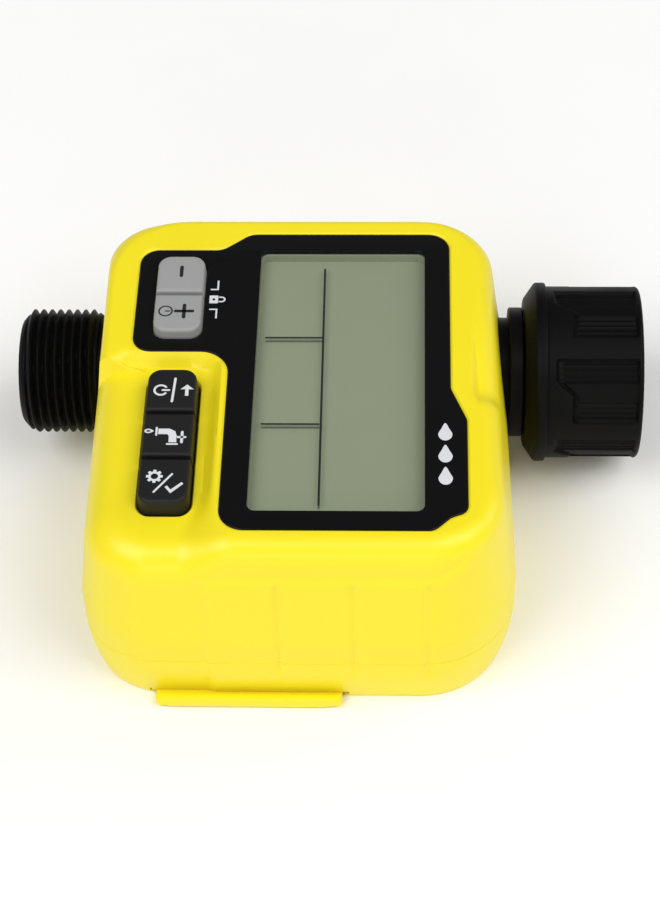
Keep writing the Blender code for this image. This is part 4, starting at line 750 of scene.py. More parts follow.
def build_rear():
    """The rear shell with the battery bay, the rails of its cover, the foot and the screw bosses."""
    s = sizes()
    base, inward = wall_and_way()
    rings = []
    lip = 0.12 * MM
    rings.append(raised(stood_out(base + inward * lip, inward, s.parting), s.parting))
    for height in np.linspace(s.parting - lip, 0, 24):
        share = height / s.parting
        inset = s.foot * (1 - share) ** 2.0
        loop = stood_out(base + inward * inset, inward, height)
        rings.append(raised(loop, height))
    soft = rings.pop()[:, :2]
    rings.append(raised(soft + inward * -0.05 * MM, 0.35 * MM))
    rings.append(raised(soft + inward * 0.3 * MM, 0.06 * MM))
    rings.append(raised(soft + inward * 0.8 * MM, 0.0))
    spine = np.column_stack([np.full(len(base), -2 * MM), np.clip(base[:, 1], -20 * MM, 20 * MM)])
    for pull in (0.3, 0.9):
        rings.append(raised(soft + (spine - soft) * pull, 0.0))
    inner = base + inward * (s.wall + 1.6 * MM)
    for pull in (0.9, 0.3, 0.0):
        rings.append(raised(inner + (spine - inner) * pull, s.wall))
    rings.append(raised(base + inward * s.wall, s.parting * 0.5))
    rings.append(raised(base + inward * s.wall, s.parting))
    shell = skin("housing_rear", rings, wrap=True)
    bay_x, bay_y, bay_top = bay_limits()
    outer = 1.2 * MM
    cover_x = (COVER_LOW.x + 1 * MM - 0.3 * MM, COVER_HIGH.x - 1 * MM + 0.3 * MM)
    rail_x = (COVER_LOW.x - 0.3 * MM, COVER_HIGH.x + 0.3 * MM)
    far = COVER_HIGH.y + 0.3 * MM
    inside = REAR_LOW.y + s.foot + 0.5 * MM
    walls = [block("bay", (bay_x[0] - outer, bay_x[1] + outer), (bay_y[0] - outer, bay_y[1] + outer),
                   (1.1 * MM, bay_top + outer)),
             block("pad", (rail_x[0] - outer, rail_x[1] + outer), (inside, far + outer),
                   (1.1 * MM, 3.4 * MM))]
    walls += [prism("boss", circle(4.2 * MM, 40, place), 1.1 * MM, s.parting - 0.01 * MM)
              for place in screw_places()]
    shell = carve(shell, walls, "UNION", overlapping=True)
    holes = [prism("shank", circle(1.75 * MM, 32, place), -5 * MM, 30 * MM) for place in screw_places()]
    sinks = [prism("sink", circle(3.2 * MM, 48, place), -5 * MM, 3.5 * MM) for place in screw_places()]
    tools = [block("inner", bay_x, bay_y, (-5 * MM, bay_top)),
             block("channel", cover_x, (REAR_LOW.y - 9 * MM, far), (-5 * MM, 2.2 * MM)),
             block("groove", rail_x, (REAR_LOW.y - 9 * MM, far), (0.8 * MM, 2.2 * MM))]
    shell = carve(shell, tools + holes + sinks + passages(), overlapping=True)
    finish(shell, 38)
    dress(shell, "moulded_yellow_abs", "housing", ["rear_shell"])


def bay_limits():
    """Inside of the battery bay, from the cells and their contacts."""
    cell_low, cell_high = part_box("battery_1")
    x = (cell_low.x - 0.35 * MM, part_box("battery_2")[1].x + 0.35 * MM)
    y = (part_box("contact_bridge")[0].y - 0.3 * MM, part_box("contact_plate_1")[1].y + 0.3 * MM)
    return x, y, cell_high.z + 0.4 * MM


def screw_places():
    """Where the four shell screws stand."""
    return [tuple((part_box(f"shell_screw_{i}")[0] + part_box(f"shell_screw_{i}")[1]).xy / 2)
            for i in range(1, 5)]


def build_cover():
    """The sliding cover: a plate on two rails with a rounded finger lip."""
    x = (COVER_LOW.x + 1 * MM, COVER_HIGH.x - 1 * MM)
    lip_end = COVER_LOW.y
    corner = 3.4 * MM
    outline = smooth_loop(box_corners(x, (lip_end, COVER_HIGH.y)),
                          [corner, corner, 0.3 * MM, 0.3 * MM], 12)
    middle = np.array([(x[0] + x[1]) / 2, (lip_end + COVER_HIGH.y) / 2])
    half = np.array([(x[1] - x[0]) / 2, (COVER_HIGH.y - lip_end) / 2])
    low, high = COVER_LOW.z, COVER_LOW.z + 1.6 * MM
    round_edge = 0.5 * MM
    loops = []
    for turn in np.linspace(0, math.pi / 2, 5):
        inset = round_edge * (1 - math.sin(turn))
        loops.append(raised(middle + (outline - middle) * (1 - inset / half),
                            low + round_edge * (1 - math.cos(turn))))
    loops.append(raised(outline, high))
    plate = skin("battery_cover_plate", loops)
    lip = smooth_loop(box_corners(x, (lip_end, lip_end + 1.2 * MM)),
                      [1.1 * MM, 1.1 * MM, 0.1 * MM, 0.1 * MM], 8)
    top = COVER_HIGH.z
    centre = lip.mean(0)
    rim = [raised(lip, high - 0.8 * MM), raised(lip, top - 0.3 * MM),
           raised(centre + (lip - centre) * np.array([0.985, 0.75]), top)]
    rails = block("rails", (COVER_LOW.x, COVER_HIGH.x), (REAR_LOW.y + 2.2 * MM, COVER_HIGH.y),
                  (high - 0.8 * MM, high))
    cover = carve(plate, [rails, skin("lip", rim)], "UNION", overlapping=True)
    finish(cover, 40)
    dress(cover, "moulded_yellow_abs", "cover", ["battery_cover"])


# --- display ----------------------------------------------------------------------------

def build_surround():
    """The black sheet round the window and the upper keys."""
    window = rectangle(*window_box(0.0), 1.6 * MM)
    keys = rectangle(*key_box(UPPER_KEYS, 0.2 * MM), KEY_CORNER)
    thick = PANEL_HIGH.z - PANEL_LOW.z
    surround = sheet_print("display_surround", [surround_outline(), window, keys], PANEL_LOW.z, thick,
                           0.18 * MM)
    finish(surround, 50)
    dress(surround, "polished_black_polycarbonate", "housing", ["display_panel"])


def build_window():
    """The clear window, its upper edge drawn in a little."""
    outline = rectangle(*window_box(-0.12 * MM), 1.5 * MM)
    centre = outline.mean(0)
    top = LENS_HIGH.z
    shrink = centre + (outline - centre) * 0.992
    loops = [raised(outline, top - 0.7 * MM), raised(outline, top - 0.15 * MM), raised(shrink, top)]
    window = skin("display_window", loops)
    finish(window, 50)
    dress(window, "clear_acrylic", "housing", ["display_lens"])


SEGMENT_DEPTH = 1.4 * MM
REFLECTOR_DEPTH = 2.55 * MM
SEGMENT = 0.42 * MM


def build_lcd():
    """The display module: its reflector, the frame round it, the segments and the shadows painted under them.
    """
    x, y = window_box(1.5 * MM)
    segments_at = LENS_HIGH.z - SEGMENT_DEPTH
    base = LENS_HIGH.z - REFLECTOR_DEPTH
    film = skin("lcd_reflector", [raised(rectangle(x, y, 0.6 * MM), z) for z in (LCD_LOW.z, base)])
    finish(film, 40)
    dress(film, "beaded_reflector_film", "housing", ["lcd_glass"])
    opening = rectangle(*window_box(-0.35 * MM), 1.2 * MM)
    gasket = sheet_print("lcd_gasket", [rectangle(x, y, 0.6 * MM), opening], base + 0.02 * MM,
                         LENS_HIGH.z - 0.8 * MM - base)
    dress(finish(gasket, 40), "beaded_reflector_film", "housing")
    spine_x = -0.6 * MM
    strokes = [bar((spine_x - 0.17 * MM, 32.2 * MM), (spine_x + 0.17 * MM, -31.2 * MM), SEGMENT, 4),
               bar((-12.4 * MM, 12.7 * MM), (spine_x - 0.35 * MM, 12.7 * MM), SEGMENT, 4),
               bar((-12.3 * MM, -10.6 * MM), (spine_x - 0.35 * MM, -10.6 * MM), SEGMENT, 4)]
    for number, stroke in enumerate(strokes):
        mark = sheet_print(f"lcd_segment_{number + 1}", [stroke], segments_at, 0.03 * MM)
        dress(mark, "screen_printed_black_ink", "housing")
        # Painted shadow: a darker strip on the reflector right under each segment, standing in for the
        # segment's shadow.
        painted_shadow = sheet_print(f"lcd_segment_echo_{number + 1}", [stroke], base + 0.01 * MM, 0.02 * MM)
        dress(painted_shadow, "shaded_reflector_film", "housing")


# --- keys -------------------------------------------------------------------------------

def key_piece(node, ends):
    """The cap of one key with a soft edge round its top; ends names the ends with wide corners."""
    edge = sizes().key_edge
    low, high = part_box(node)
    radii = [KEY_CORNER if end in ends else 0.35 * MM for end in ("near", "near", "far", "far")]

    def loop(inset):
        pulled = box_corners((low.x + KEY_FLANGE + inset, high.x - KEY_FLANGE - inset),
                             (low.y + inset, high.y - inset))
        return smooth_loop(pulled, [max(radius - inset, 0.05 * MM) for radius in radii], 12)

    draft = 0.25 * MM
    loops = [raised(loop(0), KEY_FLANGE_TOP - 1.3 * MM), raised(loop(0), BODY_TOP)]
    for turn in np.linspace(0, math.pi / 2, 7):
        loops.append(raised(loop(draft + edge * (1 - math.cos(turn))),
                            high.z - edge + edge * math.sin(turn)))
    return skin(node + "_cap", loops)


def key_under(node):
    """The flange that holds a key under the shell, and its foot."""
    low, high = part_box(node)
    middle = ((low.x + high.x) / 2, (low.y + high.y) / 2)
    return [block("flange", (low.x, high.x), (low.y + 0.3 * MM, high.y - 0.3 * MM),
                  (KEY_FLANGE_TOP - 1.3 * MM, KEY_FLANGE_TOP)),
            prism("foot", circle(1.5 * MM, 24, middle), low.z, KEY_FLANGE_TOP - 1.2 * MM)]


def build_keys():
    """The two rows of keys; only the outer corners of a row are wide."""
    rows = ((UPPER_KEYS, "moulded_grey_silicone", "grey_key_rubber"),
            (LOWER_KEYS, "moulded_black_silicone", "black_key_rubber"))
    for nodes, rubber, slot in rows:
        for index, node in enumerate(nodes):
            ends = (["far"] if index == 0 else []) + (["near"] if index == len(nodes) - 1 else [])
            cap = carve(key_piece(node, ends), key_under(node), "UNION", overlapping=True)
            dress(finish(cap, 45), rubber, node.replace("_key", ""), [node])


BLACK_INK = "screen_printed_black_ink"
WHITE_INK = "screen_printed_white_ink"


def ring_pair(radius, width, centre, steps=32):
    """The two outlines of a printed ring."""
    return [circle(radius + width / 2, steps, centre), circle(radius - width / 2, steps, centre)]


def symbol(name, outlines, node, ink):
    """A printed symbol lying on a key."""
    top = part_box(node)[1].z
    mark = sheet_print(name, outlines, top - 0.02 * MM, 0.045 * MM)
    dress(mark, ink, node.replace("_key", ""))


def tap_outlines():
    """A generic tap on its side, its spout to the left, with a drop under the spout."""
    cx, cy = -30.35 * MM, -15.9 * MM
    spout = np.array([(-2.0, 1.75), (0.2, 1.75), (1.35, 1.1), (1.75, -0.2), (1.75, -1.75), (0.2, -1.75),
                      (0.15, -0.1), (-0.2, 0.35), (-2.0, 0.35)])
    shapes = [spout[::-1] * MM + (cx, cy)]
    shapes.append(bar((cx - 2.35 * MM, cy + 2.0 * MM), (cx - 2.35 * MM, cy + 0.1 * MM), 0.4 * MM))
    shapes.append(bar((cx - 0.1 * MM, cy - 2.2 * MM), (cx + 1.9 * MM, cy - 2.2 * MM), 0.4 * MM))
    shapes.append(bar((cx + 2.75 * MM, cy + 0.9 * MM), (cx + 2.75 * MM, cy - 1.7 * MM), 0.55 * MM))
    shapes.append(bar((cx + 1.9 * MM, cy - 0.4 * MM), (cx + 3.4 * MM, cy - 0.4 * MM), 0.5 * MM))
    drop = []
    for turn in np.linspace(0, math.tau, 24, endpoint=False):
        pull = 1 + 0.45 * max(0.0, math.cos(turn)) ** 4
        drop.append((cx - 4.0 * MM + 0.75 * MM * math.cos(turn) * pull,
                     cy + 1.15 * MM + 0.55 * MM * math.sin(turn)))
    hole = [(cx - 4.0 * MM + (a - cx + 4.0 * MM) * 0.5, cy + 1.15 * MM + (b - cy - 1.15 * MM) * 0.45)
            for a, b in drop]
    return shapes + [np.array(drop), np.array(hole)]


def gear_outline(centre, radius, teeth=8):
    """The outline of a small gear with tapered teeth."""
    outline = []
    for index in range(teeth):
        middle = math.tau * index / teeth
        for off, reach in ((-0.27, 0.74), (-0.18, 1.0), (0.18, 1.0), (0.27, 0.74)):
            outline.append((centre[0] + radius * reach * math.cos(middle + off),
                            centre[1] + radius * reach * math.sin(middle + off)))
    return np.array(outline)


def build_symbols():
    """The symbols printed on the five keys."""
    mark = 0.75 * MM
    symbol("minus_mark", [bar((-30.4 * MM, 29.25 * MM), (-30.4 * MM, 26.7 * MM), mark)],
           "minus_key", BLACK_INK)
    cx, cy = -29.2 * MM, 16.65 * MM
    symbol("plus_mark", [bar((cx, cy + 1.7 * MM), (cx, cy - 1.7 * MM), mark)], "plus_key", BLACK_INK)
    symbol("plus_mark_cross", [bar((cx - 1.75 * MM, cy), (cx - 0.37 * MM, cy), mark),
                               bar((cx + 0.37 * MM, cy), (cx + 1.75 * MM, cy), mark)],
           "plus_key", BLACK_INK)
    dial = (-33.0 * MM, 16.65 * MM)
    symbol("delay_mark", ring_pair(1.35 * MM, 0.32 * MM, dial), "plus_key", BLACK_INK)
    symbol("delay_hands", [bar(dial, (dial[0] + 0.85 * MM, dial[1]), 0.3 * MM)], "plus_key", BLACK_INK)
    symbol("off_bar", [bar((-29.85 * MM, -0.9 * MM), (-30.2 * MM, -7.0 * MM), 0.5 * MM)],
           "off_key", WHITE_INK)
    power = (-32.6 * MM, -4.0 * MM)
    arc = np.linspace(0.55, math.tau - 0.55, 28)
    outer = [(power[0] + 1.5 * MM * math.cos(a), power[1] + 1.5 * MM * math.sin(a)) for a in arc]
    inner = [(power[0] + 1.05 * MM * math.cos(a), power[1] + 1.05 * MM * math.sin(a)) for a in arc[::-1]]
    symbol("power_mark", [np.array(outer + inner)], "off_key", WHITE_INK)
    stroke = bar((power[0] + 0.35 * MM, power[1]), (power[0] + 1.65 * MM, power[1]), 0.45 * MM)
    symbol("power_stroke", [stroke],
           "off_key", WHITE_INK)
    back = (-27.6 * MM, -4.0 * MM)
    arrow = [(1.3, 0.2), (0.2, 1.35), (0.2, 0.5), (-1.3, 0.5), (-1.3, -0.1), (0.2, -0.1), (0.2, -0.95)]
    placed = [(back[0] + b * 1.15 * MM, back[1] + a * 1.15 * MM) for a, b in arrow]
    symbol("back_mark", [np.array(placed[::-1])], "off_key", WHITE_INK)
    symbol("tap_mark", tap_outlines(), "manual_key", WHITE_INK)
    gear_at = (-32.3 * MM, -26.3 * MM)
    symbol("settings_mark", [gear_outline(gear_at, 1.65 * MM), circle(0.72 * MM, 20, gear_at)],
           "ok_key", WHITE_INK)
    symbol("divider_mark", [bar((-28.9 * MM, -25.7 * MM), (-32.2 * MM, -30.2 * MM), 0.42 * MM)],
           "ok_key", WHITE_INK)
    tick = [(-29.7, -28.6), (-28.95, -29.6), (-26.9, -27.7), (-26.55, -28.15), (-28.95, -30.5),
            (-30.15, -28.95)]
    symbol("confirm_mark", [np.array(tick)[::-1] * MM], "ok_key", WHITE_INK)


def build_panel_marks():
    """A key-lock symbol with its brackets, and a plain row of drops."""
    top = PANEL_HIGH.z
    thick = 0.03 * MM
    body = rectangle((-24.4 * MM, -22.6 * MM), (20.75 * MM, 22.95 * MM), 0.15 * MM, 4)
    hole = circle(0.32 * MM, 16, (-23.5 * MM, 21.85 * MM))
    arc = np.linspace(-math.pi / 2, math.pi / 2, 14)
    outer = [(-21.9 * MM + 0.85 * MM * math.cos(a), 21.85 * MM + 0.8 * MM * math.sin(a)) for a in arc]
    inner = [(-21.9 * MM + 0.5 * MM * math.cos(a), 21.85 * MM + 0.45 * MM * math.sin(a)) for a in arc[::-1]]
    ends = [(-22.5 * MM, height * MM) for height in (21.05, 22.65, 22.3, 21.4)]
    shackle = np.array(ends[:1] + outer + ends[1:3] + inner + ends[3:])
    upper = [(-24.3, 24.5), (-24.3, 24.85), (-22.95, 24.85), (-22.95, 27.2), (-22.6, 27.2), (-22.6, 24.5)]
    lower = [(-24.3, 19.2), (-22.6, 19.2), (-22.6, 16.5), (-22.95, 16.5), (-22.95, 18.85), (-24.3, 18.85)]
    shapes = [[body, hole], [shackle], [np.array(upper)[::-1] * MM], [np.array(lower)[::-1] * MM]]
    for number in range(3):
        middle = -14.5 * MM - number * 5.6 * MM
        size = 1.75 * MM
        drop = []
        for turn in np.linspace(0, math.tau, 40, endpoint=False):
            pull = 1 + 0.7 * max(0.0, math.sin(turn)) ** 5
            drop.append((24.1 * MM + size * 0.8 * math.cos(turn) * (1 - 0.25 * max(0.0, math.sin(turn))),
                         middle + size * 0.95 * math.sin(turn) * pull))
        shapes.append([np.array(drop)])
    names = ("lock_body", "lock_shackle", "lock_bracket_1", "lock_bracket_2", "drop_1", "drop_2", "drop_3")
    for name, outlines in zip(names, shapes):
        mark = sheet_print(name, outlines, top - 0.005 * MM, thick)
        dress(mark, WHITE_INK, "housing")


# --- water way --------------------------------------------------------------------------

def helix_radius(x, turn, start, end, root, crest):
    """Radius of a right-hand pipe thread at a place along it and an angle round it."""
    pitch = sizes().thread_pitch
    phase = ((x - start) / pitch - turn / math.tau) % 1.0
    tooth = np.clip(1.15 - 2.4 * np.abs(phase - 0.5), 0, 1)
    fade = smooth_step(x, start, start + 0.8 * MM) * (1 - smooth_step(x, end - 0.9 * MM, end))
    return root + (crest - root) * tooth * fade


def build_outlet():
    """The outlet spigot: a flange inside the shell and a male pipe thread outside it."""
    s = sizes()
    turns = full_turn(240)
    wall = REAR_LOW.x
    flange = -40.1 * MM
    tube_end = THREAD_HIGH.x - 8.3 * MM
    start, end = THREAD_LOW.x + 0.9 * MM, wall - 0.6 * MM
    loops = [(THREAD_LOW.x, 8.3), (THREAD_LOW.x, 11.1), (THREAD_LOW.x + 0.25 * MM, 11.35),
             (THREAD_LOW.x + 0.8 * MM, 12.0)]
    rings = [round_loop(x, radius * MM, turns) for x, radius in loops]
    for x in np.arange(start, end, 0.15 * MM):
        rings.append(round_loop(x, helix_radius(x, turns, start, end, s.thread_root, s.thread_crest), turns))
    rest = [(end, 12.06), (end, 11.4), (flange - 2.1 * MM, 11.4), (flange - 2.1 * MM, 13.2), (flange, 13.2),
            (flange, 10.5), (tube_end, 10.5), (tube_end, 9.0), (THREAD_HIGH.x, 9.0), (THREAD_HIGH.x, 6.0),
            (wall + 6 * MM, 6.0), (wall, 8.3)]
    rings += [round_loop(x, radius * MM, turns) for x, radius in rest]
    outlet = skin("outlet_thread", rings, wrap=True)
    dress(finish(outlet, 40), "moulded_black_nylon", "housing", ["outlet_spigot"])


PAD_COUNT = 6
PAD_PHASE = math.radians(-4)


def nut_radius(x, turns):
    """Outside of the swivel nut: six smooth pads with ribbed recesses between them."""
    s = sizes()
    period = math.tau / PAD_COUNT
    # local is the angle from the nearest pad's middle; side is the share of the way to the next pad.
    local = (turns - PAD_PHASE + period / 2) % period - period / 2
    pad = 1 - smooth_step(np.abs(local), math.radians(7.4), math.radians(8.6))
    side = np.where(local > 0, local, local + period) / period
    border = NUT_LOW.x + 6.6 * MM + 3.5 * MM * np.clip((side - 0.38) / 0.17, 0, 1)
    start = smooth_step(np.full_like(turns, x), border - 0.5 * MM, border + 0.3 * MM)
    stop = 1 - smooth_step(np.full_like(turns, x), NUT_HIGH.x - 1.5 * MM, NUT_HIGH.x - 0.9 * MM)
    recess = (1 - pad) * start * stop
    panel = smooth_step(side, 0.38, 0.4) * (1 - smooth_step(side, 0.58, 0.6))
    ribs = (0.5 + 0.5 * np.cos(side * math.tau * 15)) * (1 - panel)
    inner = smooth_step(np.full_like(turns, x), border + 0.4 * MM, border + 1.2 * MM)
    lift = (s.rib * ribs + 0.45 * MM * panel) * inner
    return s.nut_grip - recess * (s.nut_recess - lift)


def build_nut():
    """The swivel nut: its sloped back, its grip with the pads, and the thread inside its socket."""
    s = sizes()
    turns = full_turn(432)
    start, end = NUT_LOW.x, NUT_HIGH.x
    back = [(0.0, 11.95), (0.0, 15.6), (0.1, 15.85), (2.1, 18.75), (2.35, 19.0), (2.7, 19.1), (4.2, 19.1),
            (4.5, 18.95), (4.65, 18.6), (4.7, 18.3)]
    rings = [round_loop(start + x * MM, radius * MM, turns) for x, radius in back]
    for x in np.arange(start + 5.2 * MM, end - 0.9 * MM, 0.3 * MM):
        rings.append(round_loop(x, nut_radius(x, turns), turns))
    for turn in np.linspace(0, math.pi / 2, 7):
        rings.append(round_loop(end - 0.9 * MM * (1 - math.sin(turn)),
                                s.nut_grip - 0.9 * MM * (1 - math.cos(turn)), turns))
    socket = start + 6.2 * MM
    rings.append(round_loop(end, 14.6 * MM, turns))
    rings.append(round_loop(end - 1.0 * MM, 13.5 * MM, turns))
    for x in np.arange(end - 1.2 * MM, socket, -0.22 * MM):
        inside = s.thread_crest + s.thread_root - helix_radius(x, turns, socket, end - 1.2 * MM,
                                                               s.thread_root, s.thread_crest)
        rings.append(round_loop(x, inside, turns))
    seat = ((5.9, 13.22), (2.2, 13.22), (2.2, 11.95))
    rings += [round_loop(start + x * MM, radius * MM, turns) for x, radius in seat]
    nut = skin("swivel_nut", rings, wrap=True)
    dress(finish(nut, 30), "moulded_black_nylon", "nut", ["inlet_nut"])


def build_inlet():
    """The inlet spigot with the collar that shows between the shell and the nut."""
    collar = NUT_LOW.x - 3.2 * MM
    wall = REAR_HIGH.x - 1.1 * MM
    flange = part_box("inlet_neck_seal")[0].x - 0.3 * MM
    plug = INLET_LOW.x
    clip_low, clip_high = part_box("swivel_clip")
    end = INLET_HIGH.x
    profile = [(plug, 6.0), (plug, 10.5), (plug + 3 * MM, 10.5), (plug + 3 * MM, 8.7), (plug + 5.1 * MM, 8.7),
               (plug + 5.1 * MM, 10.5), (flange - 2.1 * MM, 10.5), (flange - 2.1 * MM, 13.2), (flange, 13.2),
               (flange, 11.6), (collar, 11.6), (collar, 13.55), (collar + 0.25 * MM, 13.8),
               (collar + 2.65 * MM, 13.8), (collar + 2.9 * MM, 13.55), (collar + 2.9 * MM, 11.6),
               (clip_low.x - 0.3 * MM, 11.6), (clip_low.x - 0.3 * MM, 10.7), (clip_high.x + 0.3 * MM, 10.7),
               (clip_high.x + 0.3 * MM, 11.6), (end, 11.6), (end, 8.3), (wall, 8.3), (wall - 3 * MM, 6.0)]
    turns = full_turn(160)
    spigot = skin("inlet_neck", [round_loop(x, radius * MM, turns) for x, radius in profile], wrap=True)
    dress(finish(spigot, 35), "moulded_black_nylon", "housing", ["inlet_spigot"])


# --- fixings ----------------------------------------------------------------------------

RECESS_LENGTH = 1.15
RECESS_WIDTH = 0.28
RIDGE = 0.12


def arithmetic(tree, operation, first, second):
    """The socket of a sum, product or quotient."""
    return add(tree, "ShaderNodeMath", {0: first, 1: second}, operation=operation).outputs[0]


def lifted(tree, mesh, height):
    """The socket of a mesh moved up by a height."""
    way = add(tree, "ShaderNodeCombineXYZ", {"Z": height}).outputs[0]
    return add(tree, "GeometryNodeTransform", {"Geometry": mesh, "Translation": way}).outputs["Geometry"]


def screw_tree():
    """A node tree that stands one cross-recess screw on each point of a mesh."""
    tree = bpy.data.node_groups.new("cross_recess_screw", "GeometryNodeTree")
    face = tree.interface
    face.new_socket("Points", in_out="INPUT", socket_type="NodeSocketGeometry")
    for name in ("Head Radius", "Head Height", "Shank Radius", "Shank Length", "Thread Pitch"):
        face.new_socket(name, in_out="INPUT", socket_type="NodeSocketFloat")
    face.new_socket("Material", in_out="INPUT", socket_type="NodeSocketMaterial")
    face.new_socket("Geometry", in_out="OUTPUT", socket_type="NodeSocketGeometry")
    given = add(tree, "NodeGroupInput").outputs
    radius, height = given["Head Radius"], given["Head Height"]
    shank_radius, shank_length = given["Shank Radius"], given["Shank Length"]
    head = add(tree, "GeometryNodeMeshCylinder", {"Vertices": 40, "Radius": radius, "Depth": height})
    head_at = lifted(tree, head.outputs["Mesh"], arithmetic(tree, "MULTIPLY", height, 0.5))
    arm_length = arithmetic(tree, "MULTIPLY", radius, RECESS_LENGTH)
    arm_width = arithmetic(tree, "MULTIPLY", radius, RECESS_WIDTH)
    cut = add(tree, "GeometryNodeMeshBoolean", {"Mesh 1": head_at}, operation="DIFFERENCE")
    for x, y in ((arm_length, arm_width), (arm_width, arm_length)):
        size = add(tree, "ShaderNodeCombineXYZ", {"X": x, "Y": y, "Z": height})
        arm = add(tree, "GeometryNodeMeshCube", {"Size": size.outputs[0]})
        tree.links.new(arm.outputs["Mesh"], cut.inputs["Mesh 2"])
    shank = add(tree, "GeometryNodeMeshCylinder", {"Vertices": 24, "Radius": shank_radius,
                                                   "Depth": shank_length})
    half_shank = arithmetic(tree, "MULTIPLY", shank_length, 0.5)
    shank_at = lifted(tree, shank.outputs["Mesh"], arithmetic(tree, "ADD", half_shank, height))
    coil = add(tree, "GeometryNodeCurveSpiral", {
        "Resolution": 16, "Rotations": arithmetic(tree, "DIVIDE", shank_length, given["Thread Pitch"]),
        "Start Radius": shank_radius, "End Radius": shank_radius, "Height": shank_length})
    ridge = add(tree, "GeometryNodeCurvePrimitiveCircle", {
        "Resolution": 5, "Radius": arithmetic(tree, "MULTIPLY", shank_radius, RIDGE)})
    thread = add(tree, "GeometryNodeCurveToMesh", {"Curve": coil.outputs[0], "Fill Caps": True,
                                                   "Profile Curve": ridge.outputs[0]})
    screw = add(tree, "GeometryNodeJoinGeometry")
    for part in (cut.outputs["Mesh"], shank_at, lifted(tree, thread.outputs["Mesh"], height)):
        tree.links.new(part, screw.inputs[0])
    copies = add(tree, "GeometryNodeInstanceOnPoints", {"Points": given["Points"],
                                                        "Instance": screw.outputs[0]})
    real = add(tree, "GeometryNodeRealizeInstances", {"Geometry": copies.outputs[0]})
    painted = add(tree, "GeometryNodeSetMaterial", {"Geometry": real.outputs[0],
                                                    "Material": given["Material"]})
    result = add(tree, "NodeGroupOutput")
    tree.links.new(painted.outputs[0], result.inputs["Geometry"])
    return tree


def run_tree(name, tree, points, values):
    """Points run through a node tree, with its named inputs set, as a plain mesh object."""
    mesh = bpy.data.meshes.new(name)
    mesh.from_pydata(points, [], [])
    piece = link(name, mesh)
    step = piece.modifiers.new("build", "NODES")
    step.node_group = tree
    for item in tree.interface.items_tree:
        if item.in_out == "INPUT" and item.name in values:
            step[item.identifier] = values[item.name]
    return settle(piece)


def build_screws():
    """The four screws of the shells and the two of the board, with sizes from their CAD nodes."""
    tree = screw_tree()
    steel = "zinc_plated_steel"
    low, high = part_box("shell_screw_1")
    places = [(x, y, low.z) for x, y in screw_places()]
    shell = run_tree("shell_screws", tree, places, {
        "Head Radius": 2.9 * MM, "Head Height": 2.2 * MM, "Shank Radius": 1.25 * MM,
        "Shank Length": high.z - low.z - 2.3 * MM, "Thread Pitch": 1.1 * MM,
        "Material": material(steel)})
    dress(finish(shell, 40), steel, "housing", [f"shell_screw_{i}" for i in range(1, 5)])
    nodes = ["board_screw_1", "board_screw_2"]
    low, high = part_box(nodes[0])
    places = [((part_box(n)[0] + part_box(n)[1]) / 2).xy.to_tuple() + (low.z,) for n in nodes]
    board = run_tree("board_screws", tree, places, {
        "Head Radius": 1.8 * MM, "Head Height": 1.1 * MM, "Shank Radius": 0.85 * MM,
        "Shank Length": high.z - low.z - 1.2 * MM, "Thread Pitch": 0.7 * MM,
        "Material": material(steel)})
    dress(finish(board, 40), steel, "housing", nodes)


# --- inside -----------------------------------------------------------------------------

def build_inside():
    """The pieces inside keep their frame shapes and take finished materials by their slot."""
    finishes = {
        "yellow_abs": "moulded_yellow_abs", "black_plastic": "moulded_black_nylon",
        "black_gloss_panel": "polished_black_polycarbonate", "grey_key_rubber": "moulded_grey_silicone",
        "black_key_rubber": "moulded_black_silicone", "clear_window": "clear_acrylic",
        "lcd_glass": "beaded_reflector_film", "white_plastic": "moulded_white_acetal",
        "black_rubber": "moulded_epdm_rubber", "circuit_board": "solder_masked_board",
        "steel": "zinc_plated_steel", "brass": "turned_brass", "cell_sleeve": "shrunk_cell_sleeve",
        "lead_red": "extruded_red_pvc"}
    slots = {part["node"]: part["material_slot"] for part in frame["record"]["subparts"]}
    for name, node in frame["nodes"].items():
        node.data.materials.clear()
        node.data.materials.append(material(finishes[slots[name]]))


# --- stage ------------------------------------------------------------------------------

def area_light(name, place, target, size, power):
    """A soft light aimed at a target."""
    light = bpy.data.lights.new(name, "AREA")
    light.shape = "RECTANGLE"
    light.size, light.size_y = size
    light.energy = power
    lamp = link(name, light)
    lamp.location = place
    aim = Vector(target) - Vector(place)
    lamp.rotation_euler = aim.to_track_quat("-Z", "Y").to_euler()


FLOOR_HALF_WIDTH = 3.0
FLOOR_THICK = 0.02
FLOOR_GAP = 0.05 * MM


